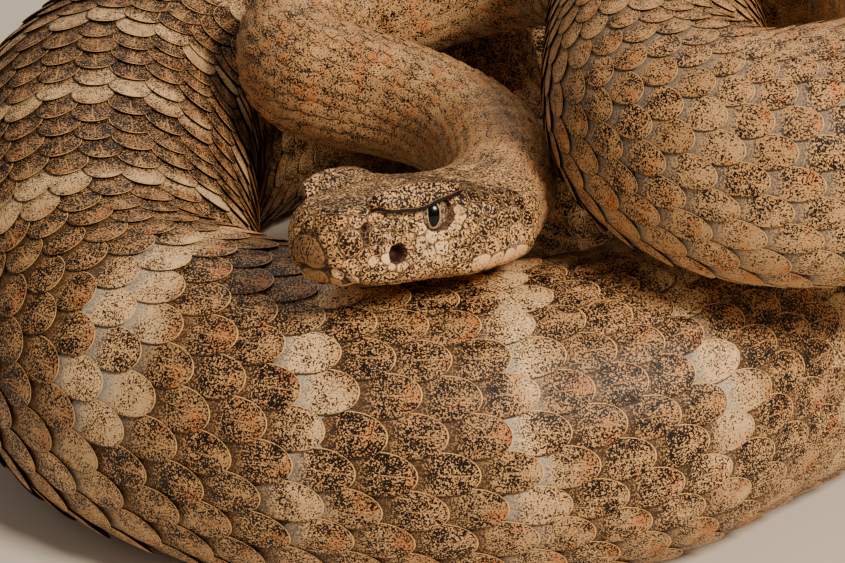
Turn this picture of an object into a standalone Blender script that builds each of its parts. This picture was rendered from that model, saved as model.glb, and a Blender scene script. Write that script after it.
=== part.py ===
"""A small desert rattlesnake at rest in its coil, life size.

Units are millimetres until a mesh is made, where MM turns them into metres. +Z is up and the floor
is z = 0. The snake faces -X and -Y, with its chin on the front of its own coil. One centre line runs
from snout to rattle, and every length of the body is a loft of cross-sections along it.
"""

import math

import bmesh
import bpy
import numpy as np

MM = 0.001

# Driving dimensions
HEAD_LENGTH = 31.0
HEAD_HEADING = math.radians(44)     # direction from snout to nape, seen from above
SNOUT = np.array([-14.2, -19.3, 49.65])
NAPE_DROP = 2.8                     # how much lower the nape is than the snout
SNOUT_ROUNDING = 3.4                # length of the rounded front of the snout
FOOTPRINT_MIDDLE = (12.6, 59.0, 0)  # of the whole coil, which becomes the part's origin
COIL_CENTRE = (0.0, 43.0)           # of the loop at the front of the coil
COIL_RADIUS = 50.0
NECK_END = 100.0                    # distance from the snout where the neck ends
TAIL_LENGTH = 62.0                  # vent to rattle
RATTLE_SEGMENTS = 8
RATTLE_PITCH = 2.9
RATTLE_WIDTH = 9.6
RATTLE_HEIGHT = 6.4
RATTLE_TAPER = 0.36                 # how much narrower the last ring of the rattle is
RATTLE_TIP = 1.6                    # length of its rounded tip
RATTLE_SIDES = 10
RATTLE_RINGS = 5                    # cross-sections along each of its segments
EYE_RADIUS = 2.3
EYE_BACK = 14.1                     # how far behind the snout each eye is
EYE_SIDE = 7.4                      # from the middle of the head
EYE_UP = 3.0                        # above the head's centre line
BROW_BACK = 13.0                    # the middle of the ridge over each eye
BROW_RISE = 1.4                     # height of the ridge over each eye
MOUTH_GAPE = 0.35                   # the line between the closed jaws
MOUTH_CORNER = 27.0                 # how far behind the snout the corners of the mouth are
CUT = 0.35                          # thin cut between two lengths of the body
EASING = 20.0                       # how far either side a change of height is smoothed
SETTLE = 0.9                        # how far the belly is pressed flat where it lies on the floor
MOST_TURN = math.radians(75)        # the most that one length of the body bends
LONGEST = 60.0                      # the longest that a straight length may be
SIDES = 16                          # facets round the body
ON_FLOOR = 0.0                      # a height that the floor overrules

# Distance from the snout, width, height
GIRTH = [(0, 9.6, 8.2), (4, 12.6, 9.8), (8, 15.0, 10.9), (13, 17.4, 11.4), (18, 20.2, 11.2),
         (23, 22.6, 10.4), (27, 22.2, 10.2), (31, 18, 10.8), (37, 14.2, 12.4), (60, 15, 14),
         (100, 18.5, 18), (150, 23.5, 23.5), (220, 31, 30), (300, 36, 35), (390, 42, 40),
         (450, 45, 44), (520, 46, 45), (590, 44, 42), (650, 42, 40)]
# Distance before the rattle, width, height
TAPER = [(95, 30, 28), (62, 21, 20), (36, 14.4, 13.6), (16, 11, 10.6), (0, 9.4, 8.8)]
# Distance from the snout, exponent of the cross-section: 2 is an ellipse, more is boxier
SQUARENESS = [(0, 2.8), (5, 3.5), (11, 3.7), (20, 3.1), (34, 2.3), (50, 2.05), (900, 2.05)]
BELLY_SQUARENESS = 2.5
# Distance from the snout, how much deeper the lower half of the cross-section is than the upper, and
# what is added to its exponent: the jaws hang deep and square below the head's centre line
JOWLS = [(0, 1.02, 0), (4, 1.08, 0), (9, 1.12, 0.3), (14, 1.1, 0.6), (20, 1.24, 0.9), (27, 1.27, 0.9),
         (34, 1.02, 0), (900, 1.0, 0)]
# Distance from the snout, degrees that the head leans over, its left side down
LEAN = [(0, 11), (31, 11), (80, 0), (900, 0)]
# Distance from the snout, height of the closed mouth above the head's centre line
MOUTH = [(-4, -1.5), (1.2, -2.0), (2.5, -2.9), (4, -3.7), (7, -4.8), (11, -5.6), (16, -5.7), (20, -5.6),
         (24, -5.2), (28, -4.5)]

COLOURS = {
    "head": (0.46, 0.35, 0.25), "jaw": (0.55, 0.44, 0.33), "eye": (0.20, 0.13, 0.07),
    "body": (0.44, 0.32, 0.21), "rattle": (0.50, 0.38, 0.22),
}


def arc(centre, radius, start, end, heights, count):
    """Points on a round stretch, from one angle in degrees to another, easing between two heights."""
    points = []
    for t in np.linspace(0, 1, count):
        angle = math.radians(start + (end - start) * t)
        ease = t * t * (3 - 2 * t)
        points.append((centre[0] + radius * math.cos(angle), centre[1] + radius * math.sin(angle),
                       heights[0] + (heights[1] - heights[0]) * ease))
    return points


def route_points():
    """The places that the centre line passes through, from the snout to the rattle."""
    along = np.array([math.cos(HEAD_HEADING), math.sin(HEAD_HEADING), -NAPE_DROP / HEAD_LENGTH])
    head = [tuple(SNOUT + along * HEAD_LENGTH * t - (0, 0, drop))
            for t, drop in ((0, 0), (0.3, 0), (0.6, 0.2), (0.88, 1.2))]
    neck = [(9.8, 8, 45.2), (10.2, 20, 43.2), (8, 33, 41.6), (1.6, 44, 41), (-7, 50.5, 41.2)]
    loop = [(-15, 55.5, 41.8), (-17.5, 64, 43), (-12, 73, 45), (-1, 77.5, 48), (9, 79, 51.5)]
    loop += arc((12, 59), 19.5, 66, 0, (54.5, 57.5), 3)
    right_limb = [(31.3, 44, 57.8), (31, 27, 57.2)]
    front_turn = arc((46.2, 12.2), 15, 192, 262, (56.4, 54.8), 3)
    right_turn = arc((54.5, 18.6), 19.4, -80, 4, (55.6, 54.8), 4)
    right_side = [(75, 36, 54.6)]
    descent = arc((13, 62), 62, -2, 93, (54.6, 4), 6)
    back = arc((13, 62), 62, 112, 150, (ON_FLOOR, ON_FLOOR), 3)
    left_side = [(-46.8, 76, ON_FLOOR), (-47, 58, ON_FLOOR), (-45.6, 40, ON_FLOOR), (-42.4, 23, ON_FLOOR)]
    front = arc(COIL_CENTRE, COIL_RADIUS, 222, 322, (ON_FLOOR, ON_FLOOR), 6)
    inner = arc((19, 40), 37, -20, 30, (ON_FLOOR, ON_FLOOR), 3)
    inner += [(43.5, 69, ON_FLOOR), (33, 76.5, ON_FLOOR), (22.5, 82.5, 9)]
    tail = [(13.8, 87, 16), (9.8, 92, 28), (8.8, 97.8, 40.5), (7.6, 106, 49.4), (3.4, 114.6, 52.4), (-5, 119.6, 51.6)]
    return (head + neck + loop + right_limb + front_turn + right_turn + right_side + descent + back
            + left_side + front + inner + tail)


def natural_spline(places, points):
    """A smooth cubic through the points at the given places, with no bend at its ends."""
    count, gap = len(places), np.diff(places)
    matrix, right = np.zeros((count, count)), np.zeros((count, points.shape[1]))
    matrix[0, 0] = matrix[-1, -1] = 1
    slope = np.diff(points, axis=0) / gap[:, None]
    for i in range(1, count - 1):
        matrix[i, i - 1:i + 2] = gap[i - 1], 2 * (gap[i - 1] + gap[i]), gap[i]
        right[i] = 3 * (slope[i] - slope[i - 1])
    square = np.linalg.solve(matrix, right)

    def at(place):
        i = np.clip(np.searchsorted(places, place, side="right") - 1, 0, count - 2)
        t, g = (place - places[i])[:, None], gap[i][:, None]
        linear = slope[i] - g * (2 * square[i] + square[i + 1]) / 3
        cubic = (square[i + 1] - square[i]) / (3 * g)
        return points[i] + linear * t + square[i] * t**2 + cubic * t**3

    return at


def read(table, column, place):
    """A smooth value from one column of a table whose first column is the distance from the snout."""
    rows = np.array([(row[0], row[column]) for row in table], float)
    gap, slope = np.diff(rows[:, 0]), np.diff(rows[:, 1]) / np.diff(rows[:, 0])
    tangent = np.concatenate([[slope[0]], np.zeros(len(slope) - 1), [slope[-1]]])
    for i in range(1, len(slope)):
        if slope[i - 1] * slope[i] > 0:
            before, after = 2 * gap[i] + gap[i - 1], gap[i] + 2 * gap[i - 1]
            tangent[i] = (before + after) / (before / slope[i - 1] + after / slope[i])
    i = np.clip(np.searchsorted(rows[:, 0], place, side="right") - 1, 0, len(gap) - 1)
    t = (place - rows[i, 0]) / gap[i]
    return ((2 * t**3 - 3 * t**2 + 1) * rows[i, 1] + (t**3 - 2 * t**2 + t) * gap[i] * tangent[i]
            + (3 * t**2 - 2 * t**3) * rows[i + 1, 1] + (t**3 - t**2) * gap[i] * tangent[i + 1])


class Body:
    """The centre line, sampled each half millimetre, and the cross-sections along it."""

    STEP = 0.5

    def __init__(self):
        points = np.array(route_points())
        chords = np.linalg.norm(np.diff(points, axis=0), axis=1)
        places = np.concatenate([[0], np.cumsum(np.sqrt(chords))])
        fine = natural_spline(places, points)(np.linspace(0, places[-1], 6000))
        run = np.concatenate([[0], np.cumsum(np.linalg.norm(np.diff(fine, axis=0), axis=1))])
        self.length = run[-1]
        self.run = np.arange(0, self.length, self.STEP)
        self.centre = np.stack([np.interp(self.run, run, fine[:, k]) for k in range(3)], 1)
        self.centre -= FOOTPRINT_MIDDLE
        taper = [(self.length - before, width, height) for before, width, height in TAPER]
        self.girth = GIRTH + taper
        rest = read(self.girth, 2, self.run) / 2 - SETTLE
        self.centre[:, 2] = self.eased(np.maximum(self.centre[:, 2], rest))
        self.tangent = np.gradient(self.centre, self.run, axis=0)
        self.tangent /= np.linalg.norm(self.tangent, axis=1)[:, None]
        heading = np.unwrap(np.arctan2(self.tangent[:, 1], self.tangent[:, 0]))
        level = np.stack([-np.sin(heading), np.cos(heading), 0 * heading], 1)
        lean = np.radians(read(LEAN, 1, self.run))[:, None]
        self.left = level * np.cos(lean) - np.cross(self.tangent, level) * np.sin(lean)
        self.turn = np.gradient(heading, self.run)
        self.bend = np.linalg.norm(np.gradient(self.tangent, self.run, axis=0), axis=1)

    def eased(self, heights):
        """Heights with the corners taken off, so that the body comes down to the floor in a curve."""
        reach = round(EASING / self.STEP)
        weights = np.hanning(2 * reach + 3)[1:-1]
        padded = np.pad(heights, reach, mode="reflect", reflect_type="odd")
        return np.convolve(padded, weights / weights.sum(), mode="valid")

    def at(self, values, place):
        """One of the sampled values at a distance from the snout."""
        if values.ndim == 1:
            return np.interp(place, self.run, values)
        return np.array([np.interp(place, self.run, values[:, k]) for k in range(values.shape[1])])

    def section(self, place, sides=SIDES):
        """The points of one cross-section, going round from the left side over the back."""
        centre, tangent, left = (self.at(v, place) for v in (self.centre, self.tangent, self.left))
        up = np.cross(tangent, left)
        width, height = (read(self.girth, k, np.array([place]))[0] / 2 for k in (1, 2))
        power = 2 / read(SQUARENESS, 1, np.array([place]))[0]
        deeper, square = (read(JOWLS, k, np.array([place]))[0] for k in (1, 2))
        nose = math.sqrt(1 - (1 - min(place / SNOUT_ROUNDING, 1)) ** 2)
        width, height = width * (0.35 + 0.65 * nose) * min(1, nose * 3), height * nose
        curve = width * self.at(self.turn, place)
        points = []
        for k in range(sides):
            angle = 2 * math.pi * (k + 0.5) / sides
            c, s = math.cos(angle), math.sin(angle)
            lower = 2 / (max(BELLY_SQUARENESS, 2 / power) + square) if s < 0 else power
            across = width * math.copysign(abs(c) ** lower, c)
            above = height * (abs(s) ** lower if s > 0 else -deeper * abs(s) ** lower)
            inside = max(0.0, curve * math.copysign(1, c))
            across *= 1 / (1 + inside**4) ** 0.25
            brow = self.brow(place, c, s)
            point = centre + left * (across + math.copysign(0.7 * brow, c)) + up * (above + BROW_RISE * brow)
            point[2] = max(point[2], 0.0)
            points.append(point)
        return points

    def brow(self, place, c, s):
        """How much of the ridge over the eye, from 0 to 1, a point of the section carries."""
        if s < 0:
            return 0.0
        return math.exp(-((place - BROW_BACK) / 6.6) ** 4) * math.exp(-((abs(c) - 0.72) / 0.2) ** 2)

    def stations(self, start, end):
        """Places for the cross-sections of one length, closer where the body is thin or bends."""
        places = [start]
        while places[-1] < end:
            width = read(self.girth, 1, np.array([places[-1]]))[0]
            step = min(0.16 * width + 1.2, math.radians(9) / max(self.at(self.bend, places[-1]), 1e-6))
            places.append(places[-1] + max(step, 1.6))
        return list(start + (np.array(places) - start) * (end - start) / (places[-1] - start))

    def divisions(self, start, end):
        """Where one stretch of the body is cut, so that no length bends or runs too far."""
        inside = (self.run >= start) & (self.run <= end)
        share = np.cumsum(self.bend[inside] * self.STEP / MOST_TURN + self.STEP / LONGEST * 0.5)
        count = math.ceil(share[-1])
        cuts = [np.interp(share[-1] * i / count, share, self.run[inside]) for i in range(1, count)]
        return [start, *cuts, end]


def material(name, colour, roughness):
    """A plain finish in the piece's own colour."""
    made = bpy.data.materials.new(name)
    made.use_nodes = True
    shader = made.node_tree.nodes["Principled BSDF"]
    shader.inputs["Base Color"].default_value = (*colour, 1)
    shader.inputs["Roughness"].default_value = roughness
    shader.inputs["Metallic"].default_value = 0
    return made


def add_object(name, mesh, kind, roughness=0.6):
    """Puts a mesh into the scene as one named piece with a finish of its own."""
    mesh.shade_smooth()
    mesh.set_sharp_from_angle(angle=math.radians(35))
    mesh.materials.append(material(name, COLOURS[kind], roughness))
    piece = bpy.data.objects.new(name, mesh)
    bpy.context.scene.collection.objects.link(piece)
    return piece


def loft(name, rings):
    """A closed solid through rings of points, with a flat face at each end."""
    made = bmesh.new()
    rows = [[made.verts.new(point * MM) for point in ring] for ring in rings]
    count = len(rows[0])
    for lower, upper in zip(rows, rows[1:]):
        for k in range(count):
            made.faces.new((lower[k], lower[(k + 1) % count], upper[(k + 1) % count], upper[k]))
    made.faces.new(rows[0][::-1])
    made.faces.new(rows[-1])
    bmesh.ops.triangulate(made, faces=made.faces[:])
    bmesh.ops.recalc_face_normals(made, faces=made.faces[:])
    mesh = bpy.data.meshes.new(name)
    made.to_mesh(mesh)
    made.free()
    return mesh


def cut_with(piece, cutter, operation):
    """A Boolean whose cutter is hidden and is left out of the model."""
    cutter.hide_render = True
    cutter.display_type = "WIRE"
    change = piece.modifiers.new(operation.title(), "BOOLEAN")
    change.operation = operation
    change.object = cutter
    change.solver = "EXACT"


def head_place(body, along, side, up):
    """A point given in the head's own directions: back from the snout, to its left, and up."""
    axis, left = body.at(body.tangent, along), body.at(body.left, along)
    return body.at(body.centre, along) + left * side + np.cross(axis, left) * up


def jaw_cutter(body, name, gap):
    """The space below the mouth line, from in front of the snout to the corner of the mouth."""
    rings = []
    for along in (-3, 1, 2.5, 4, 6, 9, 13, 18, 22, MOUTH_CORNER - gap):
        top = read(MOUTH, 1, np.array([along]))[0] - gap
        reach = max(along, 0)
        corners = ((16, top), (-16, top), (-16, -13), (16, -13))
        base = head_place(body, 0, 0, 0) - head_place(body, 1, 0, 0)
        rings.append([head_place(body, reach, *corner) + base * (reach - along) for corner in corners])
    cutter = bpy.data.objects.new(name, loft(name, rings))
    bpy.context.scene.collection.objects.link(cutter)
    return cutter


def build_head(body):
    """The head, its lower jaw and both eyes."""
    front = [0.12, 0.6, 1.4, 2.5, 3.9, 5.4]
    places = front + list(np.arange(7.2, HEAD_LENGTH, 1.9)) + [HEAD_LENGTH + 1]
    mesh = loft("head", [body.section(place, 22) for place in places])
    head = add_object("head", mesh, "head")
    jaw = add_object("lower_jaw", mesh.copy(), "jaw")
    jaw.data.materials.clear()
    jaw.data.materials.append(material("lower_jaw", COLOURS["jaw"], 0.6))
    for name, side in (("eye_right", 1), ("eye_left", -1)):
        at = head_place(body, EYE_BACK, side * EYE_SIDE, EYE_UP) * MM
        bpy.ops.mesh.primitive_uv_sphere_add(segments=16, ring_count=9, radius=EYE_RADIUS * MM, location=at)
        eye = bpy.context.object
        eye.name = eye.data.name = name
        eye.data.shade_smooth()
        eye.data.materials.append(material(name, COLOURS["eye"], 0.15))
        bpy.ops.mesh.primitive_uv_sphere_add(
            segments=16, ring_count=9, radius=(EYE_RADIUS + CUT) * MM, location=at)
        socket = bpy.context.object
        socket.name = "socket_" + name
        cut_with(head, socket, "DIFFERENCE")
    cut_with(head, jaw_cutter(body, "mouth_space", 0), "DIFFERENCE")
    cut_with(jaw, jaw_cutter(body, "jaw_space", MOUTH_GAPE), "INTERSECT")


def build_rattle(body):
    """Loose horny rings, each with a waist, getting smaller towards the tip."""
    start = body.length - 0.5
    axis, left, base = (body.at(v, start) for v in (body.tangent, body.left, body.centre))
    up = np.cross(axis, left)
    rings, length = [], RATTLE_SEGMENTS * RATTLE_PITCH
    for place in np.arange(CUT, length + RATTLE_TIP, RATTLE_PITCH / RATTLE_RINGS):
        swell = 0.82 + 0.18 * abs(math.sin(math.pi * place / RATTLE_PITCH)) ** 0.6
        tip = min(1, math.sqrt((length + RATTLE_TIP - place) / RATTLE_TIP))
        size = swell * tip * (1 - RATTLE_TAPER * place / length)
        ring = []
        for k in range(RATTLE_SIDES):
            angle = 2 * math.pi * (k + 0.5) / RATTLE_SIDES
            across = RATTLE_WIDTH / 2 * size * math.cos(angle)
            above = RATTLE_HEIGHT / 2 * size * math.sin(angle) * (0.86 + 0.14 * abs(math.cos(angle)))
            ring.append(base + axis * place + left * across + up * above)
        rings.append(ring)
    add_object("rattle", loft("rattle", rings), "rattle", 0.45)


def build_lengths(body, name, start, end):
    """One named stretch of the body, parted by thin cuts."""
    cuts = body.divisions(start, end)
    for number, (first, last) in enumerate(zip(cuts, cuts[1:]), 1):
        places = body.stations(first + CUT / 2, last - CUT / 2)
        label = f"{name}_{number:02d}" if len(cuts) > 2 else name
        add_object(label, loft(label, [body.section(place) for place in places]), "body")


def main():
    for thing in list(bpy.data.objects):
        bpy.data.objects.remove(thing, do_unlink=True)
    body = Body()
    build_head(body)
    neck_start, vent = HEAD_LENGTH + 1 + CUT / 2, body.length - TAIL_LENGTH
    build_lengths(body, "neck", neck_start, NECK_END)
    build_lengths(body, "trunk", NECK_END, vent)
    build_lengths(body, "tail", vent, body.length - 0.5)
    build_rattle(body)


main()
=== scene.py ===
"""A small desert rattlesnake at rest in its coil, life size, in its skin and scales.

The frame's solids give the outline. One skin lies inside them by the depth of the coat, and keeled
scales, belly plates and head shields lie on it. Lengths are millimetres until a mesh is made.
"""

import logging
import math
from collections.abc import Callable, Iterable
from dataclasses import dataclass, field
from enum import Enum

import bpy
import numpy as np
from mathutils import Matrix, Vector
from mathutils.bvhtree import BVHTree
from mathutils.kdtree import KDTree


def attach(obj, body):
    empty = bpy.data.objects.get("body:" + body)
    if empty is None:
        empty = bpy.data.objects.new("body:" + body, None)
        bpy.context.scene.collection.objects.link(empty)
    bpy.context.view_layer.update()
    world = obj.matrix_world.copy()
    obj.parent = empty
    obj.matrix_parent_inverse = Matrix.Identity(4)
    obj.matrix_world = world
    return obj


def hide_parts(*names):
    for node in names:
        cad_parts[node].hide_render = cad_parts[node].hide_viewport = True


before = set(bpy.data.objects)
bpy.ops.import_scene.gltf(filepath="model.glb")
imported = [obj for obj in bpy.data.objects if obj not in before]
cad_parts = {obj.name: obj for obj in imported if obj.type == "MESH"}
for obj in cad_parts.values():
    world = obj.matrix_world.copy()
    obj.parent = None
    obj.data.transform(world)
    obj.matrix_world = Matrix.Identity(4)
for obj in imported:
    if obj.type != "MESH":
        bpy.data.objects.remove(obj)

log = logging.getLogger("snake")

MM = 0.001
ROOT = "root"
Row = tuple[float, ...]
Table = list[Row]

HEAD_LENGTH = 31.0
HEAD_HEADING = math.radians(44)
SNOUT = np.array([-14.2, -19.3, 49.65])
NAPE_DROP = 2.8             # how much lower the nape is than the snout
SNOUT_ROUNDING = 3.4        # length of the snout's rounded front
HEAD_REACH = 40             # the head and the first of the neck
FOOTPRINT_MIDDLE = (12.6, 59.0, 0)
COIL_CENTRE = (0.0, 43.0)
COIL_RADIUS = 50.0
TAIL_LENGTH = 62.0
EYE_BACK = 14.1             # behind the snout, to the side and up
EYE_SIDE = 7.4
EYE_UP = 3.0
EYE_RADIUS = 2.3
BROW_BACK = 13.0            # the middle of the ridge over the eye
BROW_LENGTH = 6.6           # half its length
BROW_PLACE = 0.72           # its place and its half width, as a sine of the way round
BROW_WIDTH = 0.2
BROW_RISE = 1.4             # how far it stands up and out
BROW_SWELL = 0.7
EASING = 20.0               # over which the body's height is evened out
SETTLE = 0.9                # how far the belly is flattened by its weight
ON_FLOOR = 0.0
BELLY_SQUARENESS = 2.5
COAT_DEPTH = 0.10           # from the scales' tips to the skin, where the body has no width
COAT_GROWTH = 0.0095        # and what each millimetre of width adds
SCALED = 0.79               # of the way round that scales cover; belly plates cover the rest

# Distance from the snout, width, height
GIRTH: Table = [(0, 9.6, 8.2), (4, 12.6, 9.8), (8, 15.0, 10.9), (13, 17.4, 11.4), (18, 20.2, 11.2),
                (23, 22.6, 10.4), (27, 22.2, 10.2), (31, 18, 10.8), (37, 14.2, 12.4), (60, 15, 14),
                (100, 18.5, 18), (150, 23.5, 23.5), (220, 31, 30), (300, 36, 35), (390, 42, 40),
                (450, 45, 44), (520, 46, 45), (590, 44, 42), (650, 42, 40)]
# Distance before the rattle, width, height
TAPER: Table = [(95, 30, 28), (62, 21, 20), (36, 14.4, 13.6), (16, 11, 10.6), (0, 9.4, 8.8)]
# Distance from the snout, how square the section is
SQUARENESS: Table = [(0, 2.8), (5, 3.5), (11, 3.7), (20, 3.1), (34, 2.3), (50, 2.05), (900, 2.05)]
# Distance from the snout, how much deeper the lower half is, how much squarer
JOWLS: Table = [(0, 1.02, 0), (4, 1.08, 0), (9, 1.12, 0.3), (14, 1.1, 0.6), (20, 1.24, 0.9),
                (27, 1.27, 0.9), (34, 1.02, 0), (900, 1.0, 0)]
# Distance from the snout, degrees that the head leans over
LEAN: Table = [(0, 11), (31, 11), (80, 0), (900, 0)]
# Distance behind the snout, height of the mouth line
MOUTH: Table = [(-4, -1.9), (1.2, -2.4), (2.5, -3.4), (4, -4.5), (7, -5.4), (11, -5.8), (16, -6.1),
                (20, -6.1), (24, -6.0), (28, -5.4)]
# Distance from the snout, distance from one pale crossband to the next
BAND_GAPS: Table = [(0, 8), (60, 9), (150, 13), (235, 17), (400, 21), (520, 24), (560, 26), (600, 24),
                    (620, 20), (640, 19), (680, 20), (740, 19), (780, 15), (842, 11)]
A_BAND = 640.5              # where one of them lies


class Side(Enum):
    """The two sides of the snake, as signs across its body: tailward, left is positive."""

    RIGHT = 1
    LEFT = -1


class Slot(Enum):
    """The finishes that the record names."""

    SKIN = "skin"
    HEAD = "head_skin"
    EYE = "eye"
    RATTLE = "rattle"


def arc(centre: Row, radius: float, start: float, end: float, heights: Row, count: int) -> list[Row]:
    """Points on a round stretch, easing between two heights.

    Args:
        centre: Middle of the round, seen from above.
        radius: Its radius.
        start: First angle, in degrees.
        end: Last angle, in degrees.
        heights: Height at the start and at the end.
        count: How many points.

    Returns:
        The points in order.
    """
    points = []
    for t in np.linspace(0, 1, count):
        angle = math.radians(start + (end - start) * t)
        ease = t * t * (3 - 2 * t)
        points.append((centre[0] + radius * math.cos(angle), centre[1] + radius * math.sin(angle),
                       heights[0] + (heights[1] - heights[0]) * ease))
    return points


def route_points() -> list[Row]:
    """The places that the centre line passes through, from the snout to the rattle."""
    along = np.array([math.cos(HEAD_HEADING), math.sin(HEAD_HEADING), -NAPE_DROP / HEAD_LENGTH])
    head = [tuple(SNOUT + along * HEAD_LENGTH * t - (0, 0, drop))
            for t, drop in ((0, 0), (0.3, 0), (0.6, 0.2), (0.88, 1.2))]
    neck = [(9.8, 8, 45.2), (10.2, 20, 43.2), (8, 33, 41.6), (1.6, 44, 41), (-7, 50.5, 41.2)]
    loop = [(-15, 55.5, 41.8), (-17.5, 64, 43), (-12, 73, 45), (-1, 77.5, 48), (9, 79, 51.5)]
    loop += arc((12, 59), 19.5, 66, 0, (54.5, 57.5), 3)
    right_limb = [(31.3, 44, 57.8), (31, 27, 57.2)]
    front_turn = arc((46.2, 12.2), 15, 192, 262, (56.4, 54.8), 3)
    right_turn = arc((54.5, 18.6), 19.4, -80, 4, (55.6, 54.8), 4)
    right_side = [(75, 36, 54.6)]
    descent = arc((13, 62), 62, -2, 93, (54.6, 4), 6)
    back = arc((13, 62), 62, 112, 150, (ON_FLOOR, ON_FLOOR), 3)
    left_side = [(-46.8, 76, ON_FLOOR), (-47, 58, ON_FLOOR), (-45.6, 40, ON_FLOOR), (-42.4, 23, ON_FLOOR)]
    front = arc(COIL_CENTRE, COIL_RADIUS, 222, 322, (ON_FLOOR, ON_FLOOR), 6)
    inner = arc((19, 40), 37, -20, 30, (ON_FLOOR, ON_FLOOR), 3)
    inner += [(43.5, 69, ON_FLOOR), (33, 76.5, ON_FLOOR), (22.5, 82.5, 9)]
    tail = [(13.8, 87, 16), (9.8, 92, 28), (8.8, 97.8, 40.5), (7.6, 106, 49.4), (3.4, 114.6, 52.4),
            (-5, 119.6, 51.6)]
    return (head + neck + loop + right_limb + front_turn + right_turn + right_side + descent + back
            + left_side + front + inner + tail)


def natural_spline(places: np.ndarray, points: np.ndarray) -> Callable[[np.ndarray], np.ndarray]:
    """A smooth cubic through points, with no bend at its ends.

    Args:
        places: Where along the curve each point lies.
        points: The points.

    Returns:
        A function from places to points on the curve.
    """
    count, gap = len(places), np.diff(places)
    matrix, right = np.zeros((count, count)), np.zeros((count, points.shape[1]))
    matrix[0, 0] = matrix[-1, -1] = 1
    slope = np.diff(points, axis=0) / gap[:, None]
    for i in range(1, count - 1):
        matrix[i, i - 1:i + 2] = gap[i - 1], 2 * (gap[i - 1] + gap[i]), gap[i]
        right[i] = 3 * (slope[i] - slope[i - 1])
    square = np.linalg.solve(matrix, right)

    def at(place: np.ndarray) -> np.ndarray:
        """Reads the curve.

        Args:
            place: Where along it.

        Returns:
            The points there.
        """
        i = np.clip(np.searchsorted(places, place, side="right") - 1, 0, count - 2)
        t, g = (place - places[i])[:, None], gap[i][:, None]
        linear = slope[i] - g * (2 * square[i] + square[i + 1]) / 3
        cubic = (square[i + 1] - square[i]) / (3 * g)
        return points[i] + linear * t + square[i] * t**2 + cubic * t**3

    return at


def read(table: Table, column: int, place: np.ndarray) -> np.ndarray:
    """Smooth values from one column of a table whose first column is the distance from the snout.

    Args:
        table: The rows, in order of their first column.
        column: Which column holds the values.
        place: Distances from the snout.

    Returns:
        A value for each distance.
    """
    rows = np.array([(row[0], row[column]) for row in table], float)
    gap, slope = np.diff(rows[:, 0]), np.diff(rows[:, 1]) / np.diff(rows[:, 0])
    tangent = np.concatenate([[slope[0]], np.zeros(len(slope) - 1), [slope[-1]]])
    for i in range(1, len(slope)):
        if slope[i - 1] * slope[i] > 0:
            before, after = 2 * gap[i] + gap[i - 1], gap[i] + 2 * gap[i - 1]
            tangent[i] = (before + after) / (before / slope[i - 1] + after / slope[i])
    i = np.clip(np.searchsorted(rows[:, 0], place, side="right") - 1, 0, len(gap) - 1)
    t = (place - rows[i, 0]) / gap[i]
    return ((2 * t**3 - 3 * t**2 + 1) * rows[i, 1] + (t**3 - 2 * t**2 + t) * gap[i] * tangent[i]
            + (3 * t**2 - 2 * t**3) * rows[i + 1, 1] + (t**3 - t**2) * gap[i] * tangent[i + 1])


def smooth(value: np.ndarray, low: float, high: float) -> np.ndarray:
    """An eased step from 0 at low to 1 at high."""
    t = np.clip((value - low) / (high - low), 0, 1)
    return t * t * (3 - 2 * t)


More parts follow.
